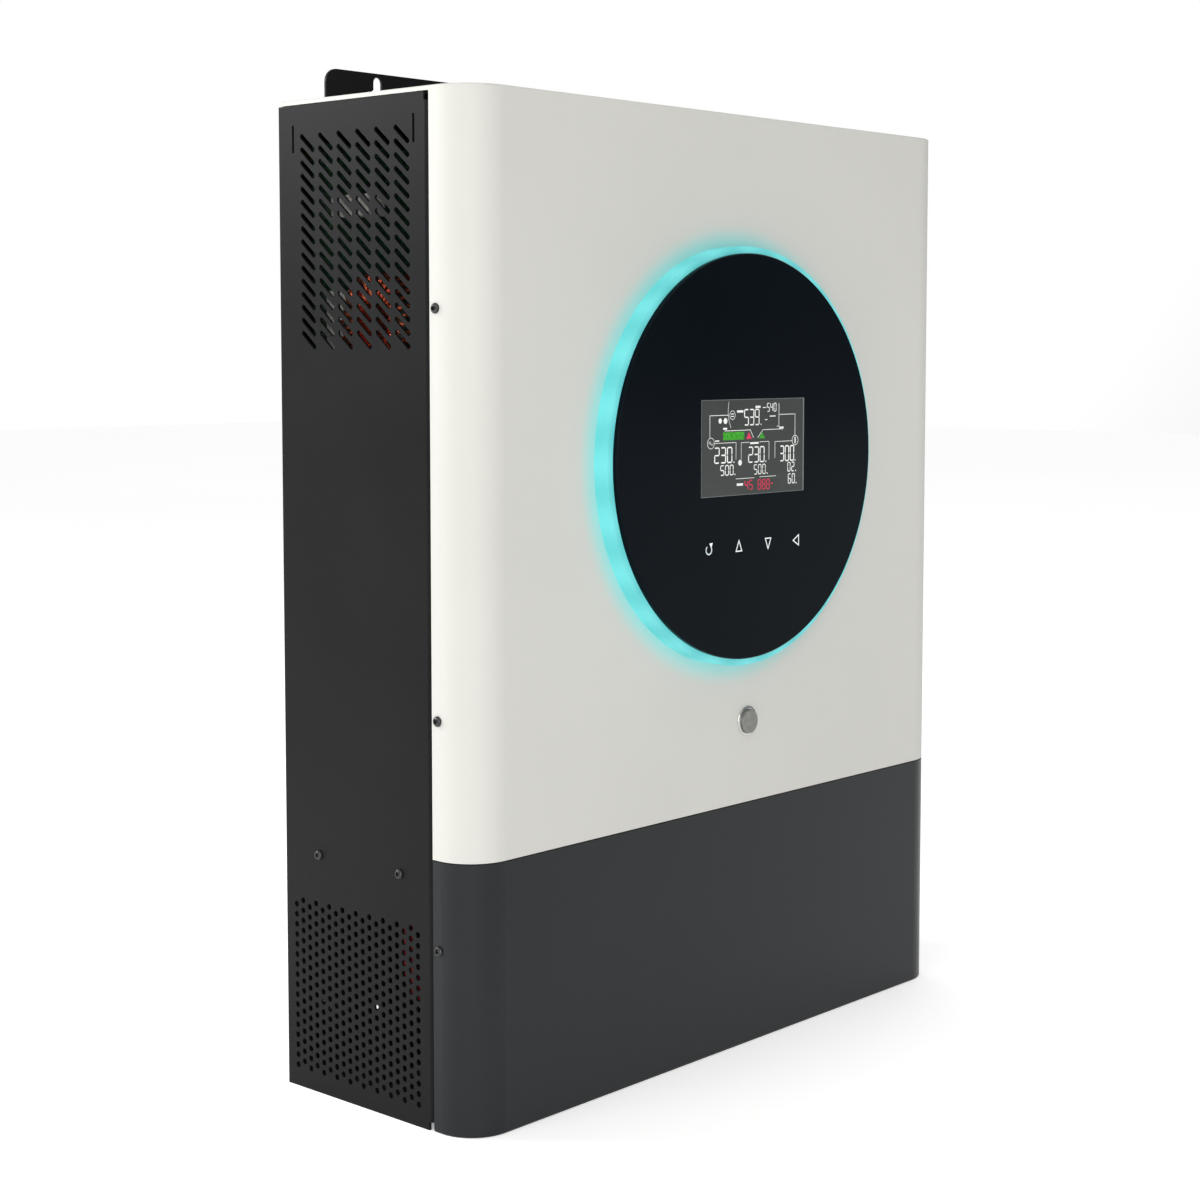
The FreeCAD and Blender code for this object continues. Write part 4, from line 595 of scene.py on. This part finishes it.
cap = bmesh.new()
turn_profile(cap, CAP, button_axis, outward, Vector((1, 0, 0)), steps=96)
spun_steel = shaded_finish(
    "spun_cap_steel", ((0.19, 0.19, 0.18), (0.25, 0.25, 0.235)),
    drift=300.0, roughness=(0.34, 0.44), metallic=0.55,
)
tree = spun_steel.node_tree
shader = tree.nodes["Principled BSDF"]
place = tree.nodes.new("ShaderNodeTexCoord")
offset = tree.nodes.new("ShaderNodeVectorMath")
offset.operation = "SUBTRACT"
offset.inputs[1].default_value = button_axis
tree.links.new(place.outputs["Object"], offset.inputs[0])
rings = tree.nodes.new("ShaderNodeTexWave")
rings.wave_type = "RINGS"
rings.rings_direction = "Y"
rings.inputs["Scale"].default_value = 1500.0
tree.links.new(offset.outputs["Vector"], rings.inputs["Vector"])
lines = tree.nodes.new("ShaderNodeBump")
lines.inputs["Strength"].default_value = 0.3
lines.inputs["Distance"].default_value = 0.00001
tree.links.new(rings.outputs["Fac"], lines.inputs["Height"])
tree.links.new(lines.outputs["Normal"], shader.inputs["Normal"])
cap_piece = mesh_piece("button_cap_face", cap, spun_steel, body="power_button")
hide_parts("button_cap")


# ----------------------------------------------------------------------------
# Coils
# Six toroids of coated powder core, each wound with round enamelled copper
# wire and glued in a white cradle beside the vented sides.
# ----------------------------------------------------------------------------
core_low, core_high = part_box("coil_cores")
CORE_RADIUS = 0.025
CORE_BORE = 0.014
CORE_WIDTH = 0.024
WIRE = 0.0012
COIL_PITCH = 0.084
TURNS = 34
LEAD_GAP = (24, 25, 26)
TURN_LEAN = 0.0009
BEND = 0.0028
coil_x = core_high.x - CORE_WIDTH / 2
coil_y = core_low.y + CORE_RADIUS
coil_z = [core_high.z - CORE_RADIUS - COIL_PITCH * place for place in range(3)]


def wound_turn(made, centre, angle):
    """One turn of round wire round the core's section, bent at its corners."""
    out = Vector((0, math.cos(angle), math.sin(angle)))
    across = Vector((1, 0, 0))
    drift = out.cross(across) * TURN_LEAN
    half = CORE_WIDTH / 2 + WIRE
    inner, outer = CORE_BORE - WIRE, CORE_RADIUS + WIRE
    path = []
    for cx, cr, start in (
        (half - BEND, outer - BEND, 0), (-half + BEND, outer - BEND, 90),
        (-half + BEND, inner + BEND, 180), (half - BEND, inner + BEND, 270),
    ):
        for step in range(4):
            a = math.radians(start + 30 * step)
            path.append((cx + BEND * math.cos(a), cr + BEND * math.sin(a)))
    ring_of_rings = []
    count = len(path)
    for i, (x, r) in enumerate(path):
        before, after = path[i - 1], path[(i + 1) % count]
        tangent = (across * (after[0] - before[0]) + out * (after[1] - before[1])).normalized()
        side = tangent.cross(out.cross(across)).normalized()
        up = out.cross(across).normalized()
        middle = centre + across * x + out * r + drift * (x / half)
        ring_of_rings.append([
            made.verts.new(middle + side * (WIRE * math.cos(t)) + up * (WIRE * math.sin(t)))
            for t in (2 * math.pi * k / 8 for k in range(8))
        ])
    for i in range(count):
        low, high = ring_of_rings[i], ring_of_rings[(i + 1) % count]
        for k in range(8):
            made.faces.new((low[k], low[(k + 1) % 8], high[(k + 1) % 8], high[k]))


windings = bmesh.new()
for side in (-1, 1):
    for z in coil_z:
        for turn in range(TURNS):
            if turn in LEAD_GAP:
                continue
            wound_turn(windings, Vector((side * coil_x, coil_y, z)), 2 * math.pi * turn / TURNS)
for face in windings.faces:
    face.smooth = True
enamelled_copper = shaded_finish(
    "enamelled_copper_wire", ((0.80, 0.11, 0.05), (0.95, 0.24, 0.10)),
    drift=260.0, roughness=(0.16, 0.3), metallic=0.75,
)
winding_piece = mesh_piece("coil_wire_turns", windings, enamelled_copper)
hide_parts("coil_windings")

core_paint = shaded_finish(
    "coated_powder_core", ((0.012, 0.030, 0.024), (0.020, 0.045, 0.034)),
    drift=120.0, roughness=(0.4, 0.6),
)
raise_grain(core_paint, size=0.0016, depth=0.00015)
coat(core_paint, "coil_cores")
moulded_white = shaded_finish(
    "moulded_white_nylon", ((0.60, 0.60, 0.55), (0.70, 0.70, 0.66)),
    drift=70.0, roughness=(0.4, 0.55),
)
raise_grain(moulded_white, size=0.0005, depth=0.00004)
coat(moulded_white, "coil_cradles")


# ----------------------------------------------------------------------------
# Fans
# Three 80 mm axial fans blow up from the shelf: glass-filled nylon frames and
# rotors, bronze sleeves, copper stators and wire finger guards.
# ----------------------------------------------------------------------------
moulded_black = shaded_finish(
    "moulded_black_nylon", ((0.012, 0.012, 0.013), (0.022, 0.022, 0.024)),
    drift=60.0, roughness=(0.38, 0.55),
)
raise_grain(moulded_black, size=0.0007, depth=0.00004)
coat(moulded_black, "fan_frames", "fan_rotor_left", "fan_rotor_middle", "fan_rotor_right",
     "display_carrier", "button_switch", "battery_blocks")

sintered_bronze = shaded_finish(
    "sintered_bronze", ((0.24, 0.12, 0.04), (0.40, 0.23, 0.09)),
    drift=1500.0, roughness=(0.3, 0.5), metallic=0.9,
)
raise_grain(sintered_bronze, size=0.0002, depth=0.00002)
coat(sintered_bronze, "fan_bearings")
coat(enamelled_copper, "fan_stators")

zinc_steel = shaded_finish(
    "zinc_plated_steel", ((0.42, 0.42, 0.43), (0.56, 0.56, 0.55)),
    drift=90.0, roughness=(0.24, 0.4), metallic=0.95,
)
raise_grain(zinc_steel, size=0.0004, depth=0.00001, stretch=(1.0, 1.0, 0.08))
coat(zinc_steel, "fan_guards", "fan_screws", "inner_screws", "button_nut", "board_brackets", "clamp_bars",
     "terminal_plate", "terminal_screws")


# ----------------------------------------------------------------------------
# Circuit boards
# Glass-epoxy boards in green solder mask with copper tracks under it, held on
# brass standoffs: power, control, display and data boards and the lamp strip.
# ----------------------------------------------------------------------------
board_green = shaded_finish(
    "green_circuit_board", ((0.005, 0.036, 0.017), (0.008, 0.052, 0.024)),
    drift=35.0, roughness=(0.22, 0.36),
)
tree = board_green.node_tree
shader = tree.nodes["Principled BSDF"]
ramp = next(node for node in tree.nodes if node.type == "VALTORGB")
place = tree.nodes.new("ShaderNodeTexCoord")
turned = tree.nodes.new("ShaderNodeMapping")
turned.inputs["Rotation"].default_value = (math.radians(90), 0.0, 0.0)
tree.links.new(place.outputs["Object"], turned.inputs["Vector"])
tracks = tree.nodes.new("ShaderNodeTexBrick")
tracks.offset = 0.37
tracks.squash = 0.6
tracks.squash_frequency = 3
tracks.inputs["Scale"].default_value = 55.0
tracks.inputs["Mortar Size"].default_value = 0.035
tracks.inputs["Color1"].default_value = (0.0, 0.0, 0.0, 1.0)
tracks.inputs["Color2"].default_value = (0.25, 0.25, 0.25, 1.0)
tracks.inputs["Mortar"].default_value = (1.0, 1.0, 1.0, 1.0)
tree.links.new(turned.outputs["Vector"], tracks.inputs["Vector"])
printed = tree.nodes.new("ShaderNodeMix")
printed.data_type = "RGBA"
printed.inputs[7].default_value = (0.035, 0.11, 0.045, 1.0)
tree.links.new(tracks.outputs["Color"], printed.inputs[0])
tree.links.new(ramp.outputs["Color"], printed.inputs[6])
tree.links.new(printed.outputs[2], shader.inputs["Base Color"])
coat(board_green, "power_board", "control_board", "display_board", "data_board", "ring_led_strip")

turned_brass = shaded_finish(
    "turned_brass", ((0.52, 0.34, 0.10), (0.66, 0.46, 0.17)),
    drift=140.0, roughness=(0.2, 0.34), metallic=0.95,
)
raise_grain(turned_brass, size=0.0003, depth=0.00001, stretch=(1.0, 0.05, 1.0))
coat(turned_brass, "board_standoffs", "board_terminals")


# ----------------------------------------------------------------------------
# Power parts
# Extruded aluminium heatsinks with clamped transistors, sleeved capacitors,
# ferrite transformers under yellow tape, relays and film capacitors.
# ----------------------------------------------------------------------------
extruded_aluminium = shaded_finish(
    "extruded_aluminium", ((0.50, 0.50, 0.51), (0.60, 0.60, 0.60)),
    drift=30.0, roughness=(0.3, 0.45), metallic=0.95,
)
raise_grain(extruded_aluminium, size=0.0006, depth=0.00002, stretch=(1.0, 1.0, 0.03))
coat(extruded_aluminium, "heatsinks")

moulded_epoxy = shaded_finish(
    "moulded_epoxy", ((0.012, 0.012, 0.013), (0.02, 0.02, 0.021)),
    drift=200.0, roughness=(0.45, 0.6),
)
raise_grain(moulded_epoxy, size=0.0004, depth=0.00003)
coat(moulded_epoxy, "power_transistors")

shrink_sleeve = shaded_finish(
    "capacitor_shrink_sleeve", ((0.014, 0.020, 0.045), (0.022, 0.030, 0.065)),
    drift=50.0, roughness=(0.2, 0.32),
)
raise_grain(shrink_sleeve, size=0.004, depth=0.00006)
coat(shrink_sleeve, "capacitors")

sintered_ferrite = shaded_finish(
    "sintered_ferrite", ((0.028, 0.028, 0.030), (0.048, 0.048, 0.050)),
    drift=160.0, roughness=(0.45, 0.65),
)
raise_grain(sintered_ferrite, size=0.0009, depth=0.00008)
coat(sintered_ferrite, "transformer_cores")

yellow_tape = shaded_finish(
    "yellow_winding_tape", ((0.55, 0.38, 0.03), (0.68, 0.50, 0.06)),
    drift=90.0, roughness=(0.25, 0.4),
)
raise_grain(yellow_tape, size=0.003, depth=0.00015, stretch=(0.1, 1.0, 1.0))
coat(yellow_tape, "transformer_windings")

relay_blue = shaded_finish(
    "relay_case_blue", ((0.012, 0.045, 0.17), (0.02, 0.065, 0.23)),
    drift=60.0, roughness=(0.25, 0.4),
)
raise_grain(relay_blue, size=0.0005, depth=0.00003)
coat(relay_blue, "relays")

film_yellow = shaded_finish(
    "film_capacitor_epoxy", ((0.50, 0.28, 0.02), (0.62, 0.38, 0.04)),
    drift=80.0, roughness=(0.25, 0.4),
)
raise_grain(film_yellow, size=0.0006, depth=0.00003)
coat(film_yellow, "film_capacitors")


# ----------------------------------------------------------------------------
# Segment picture module and touch springs behind the glass.
# Segment picture module, touch springs and the lamps behind the glass.
# ----------------------------------------------------------------------------
module_glass = shaded_finish(
    "picture_module_glass", ((0.035, 0.042, 0.038), (0.055, 0.062, 0.058)),
    drift=50.0, roughness=(0.15, 0.25),
)
raise_grain(module_glass, size=0.0004, depth=0.00001)
coat(module_glass, "lcd_module")

tin_plate = shaded_finish(
    "tin_plate", ((0.52, 0.52, 0.50), (0.66, 0.66, 0.64)),
    drift=150.0, roughness=(0.18, 0.32), metallic=0.95,
)
raise_grain(tin_plate, size=0.0005, depth=0.00001)
coat(tin_plate, "touch_springs", "terminal_studs", "terminal_nuts", "battery_lugs", "data_sockets")


# ----------------------------------------------------------------------------
# Wiring compartment
# Green clamp terminals, rubber grommets in the bottom sheet, and the cables:
# red and black battery cables, mains wires and thin signal leads.
# ----------------------------------------------------------------------------
terminal_green = shaded_finish(
    "terminal_block_green", ((0.03, 0.17, 0.055), (0.045, 0.23, 0.08)),
    drift=70.0, roughness=(0.35, 0.5),
)
raise_grain(terminal_green, size=0.0006, depth=0.00004)
coat(terminal_green, "terminal_blocks")

grommet_rubber = shaded_finish(
    "grommet_rubber", ((0.011, 0.011, 0.011), (0.02, 0.02, 0.02)),
    drift=110.0, roughness=(0.6, 0.8),
)
raise_grain(grommet_rubber, size=0.0006, depth=0.00006)
coat(grommet_rubber, "cable_grommets")

for name, shades, parts in (
    ("red_cable_rubber", ((0.40, 0.012, 0.016), (0.55, 0.022, 0.03)), ("battery_cable_positive",)),
    ("black_cable_rubber", ((0.012, 0.012, 0.012), (0.022, 0.022, 0.022)),
     ("battery_cable_negative", "signal_leads")),
    ("brown_cable_rubber", ((0.09, 0.035, 0.014), (0.13, 0.05, 0.02)), ("mains_wires",)),
):
    insulation = shaded_finish(name, shades, drift=90.0, roughness=(0.35, 0.5))
    raise_grain(insulation, size=0.0009, depth=0.00004)
    coat(insulation, *parts)


# ----------------------------------------------------------------------------
# Studio
# Pale floor under the inverter's foot and four soft boxes: a tall one at the
# left front, one on the left, one overhead and one behind on the left. The pale
# room is brighter at the left front, the right back and above.
# ----------------------------------------------------------------------------
FLOOR_Z = cad_box[0].z
floor_mesh = bmesh.new()
FLOOR_HALF = 9.0
corners = [
    floor_mesh.verts.new((x * FLOOR_HALF, y * FLOOR_HALF, FLOOR_Z))
    for x, y in ((-1, -1), (1, -1), (1, 1), (-1, 1))
]
floor_mesh.faces.new(corners)
floor_data = bpy.data.meshes.new("studio_floor")
floor_mesh.to_mesh(floor_data)
floor_mesh.free()
floor = bpy.data.objects.new("studio_floor", floor_data)
bpy.context.scene.collection.objects.link(floor)
floor_paint = shaded_finish(
    "studio_floor_paint", ((0.88, 0.88, 0.88), (0.90, 0.90, 0.90)),
    drift=1.0, roughness=(0.8, 0.9), specular=0.1,
)
floor_shader = floor_paint.node_tree.nodes["Principled BSDF"]
floor_shader.inputs["Emission Color"].default_value = (1.0, 1.0, 1.0, 1.0)
floor_shader.inputs["Emission Strength"].default_value = 0.33
floor_data.materials.append(floor_paint)


def soft_box(name, place, target, width, height, power, colour=(1.0, 1.0, 1.0)):
    light = bpy.data.lights.new(name, "AREA")
    light.shape = "RECTANGLE"
    light.size = width
    light.size_y = height
    light.energy = power
    light.color = colour
    lamp = bpy.data.objects.new(name, light)
    lamp.location = place
    lamp.rotation_euler = (Vector(target) - Vector(place)).to_track_quat("-Z", "Y").to_euler()
    bpy.context.scene.collection.objects.link(lamp)
    return lamp


soft_box("key_soft_box", (-2.3, -2.1, 0.9), (0, -0.07, 0.0), 0.5, 2.4, 27, (1.0, 0.97, 0.93))
soft_box("left_soft_box", (-2.9, 0.3, 1.5), (0, -0.07, 0.05), 1.6, 1.2, 15, (1.0, 0.97, 0.93))
soft_box("top_soft_box", (0.2, -0.9, 2.6), (0, 0, 0), 2.0, 2.0, 8)
soft_box("rear_soft_box", (-1.25, 1.7, 0.95), (-0.2, -0.06, 0.25), 0.9, 0.6, 34)

room = bpy.data.worlds.new("pale_room")
bpy.context.scene.world = room
room.use_nodes = True
tree = room.node_tree
paint = tree.nodes["Background"]
way = tree.nodes.new("ShaderNodeTexCoord")
apart = tree.nodes.new("ShaderNodeSeparateXYZ")
tree.links.new(way.outputs["Generated"], apart.inputs["Vector"])
# X times Y is positive at the left front and at the right back
both = tree.nodes.new("ShaderNodeMath")
both.operation = "MULTIPLY"
tree.links.new(apart.outputs["X"], both.inputs[0])
tree.links.new(apart.outputs["Y"], both.inputs[1])
lifted = tree.nodes.new("ShaderNodeMath")
lifted.operation = "MULTIPLY_ADD"
lifted.inputs[1].default_value = 0.38
tree.links.new(apart.outputs["Z"], lifted.inputs[0])
tree.links.new(both.outputs["Value"], lifted.inputs[2])
wash = tree.nodes.new("ShaderNodeValToRGB")
wash.color_ramp.elements[0].position = 0.0
wash.color_ramp.elements[0].color = (0.22, 0.22, 0.23, 1.0)
wash.color_ramp.elements[1].position = 0.42
wash.color_ramp.elements[1].color = (1.0, 1.0, 1.0, 1.0)
tree.links.new(lifted.outputs["Value"], wash.inputs["Fac"])
tree.links.new(wash.outputs["Color"], paint.inputs["Color"])
paint.inputs["Strength"].default_value = 1.0

# The camera stands at the left front, a little above the middle, on a long lens
camera_data = bpy.data.cameras.new("camera")
camera_data.lens = 65.6
camera_data.sensor_width = 36.0
camera_data.shift_y = -0.07
camera_data.clip_end = 60.0
camera = bpy.data.objects.new("camera", camera_data)
camera.location = (-1.0031, -0.9515, 0.1403)
CAMERA_DROP = 4.34
CAMERA_TURN = 47.86
camera.rotation_euler = (math.radians(90 - CAMERA_DROP), 0.0, math.radians(-CAMERA_TURN))
bpy.context.scene.collection.objects.link(camera)
bpy.context.scene.camera = camera
bpy.context.scene.view_settings.view_transform = "Standard"
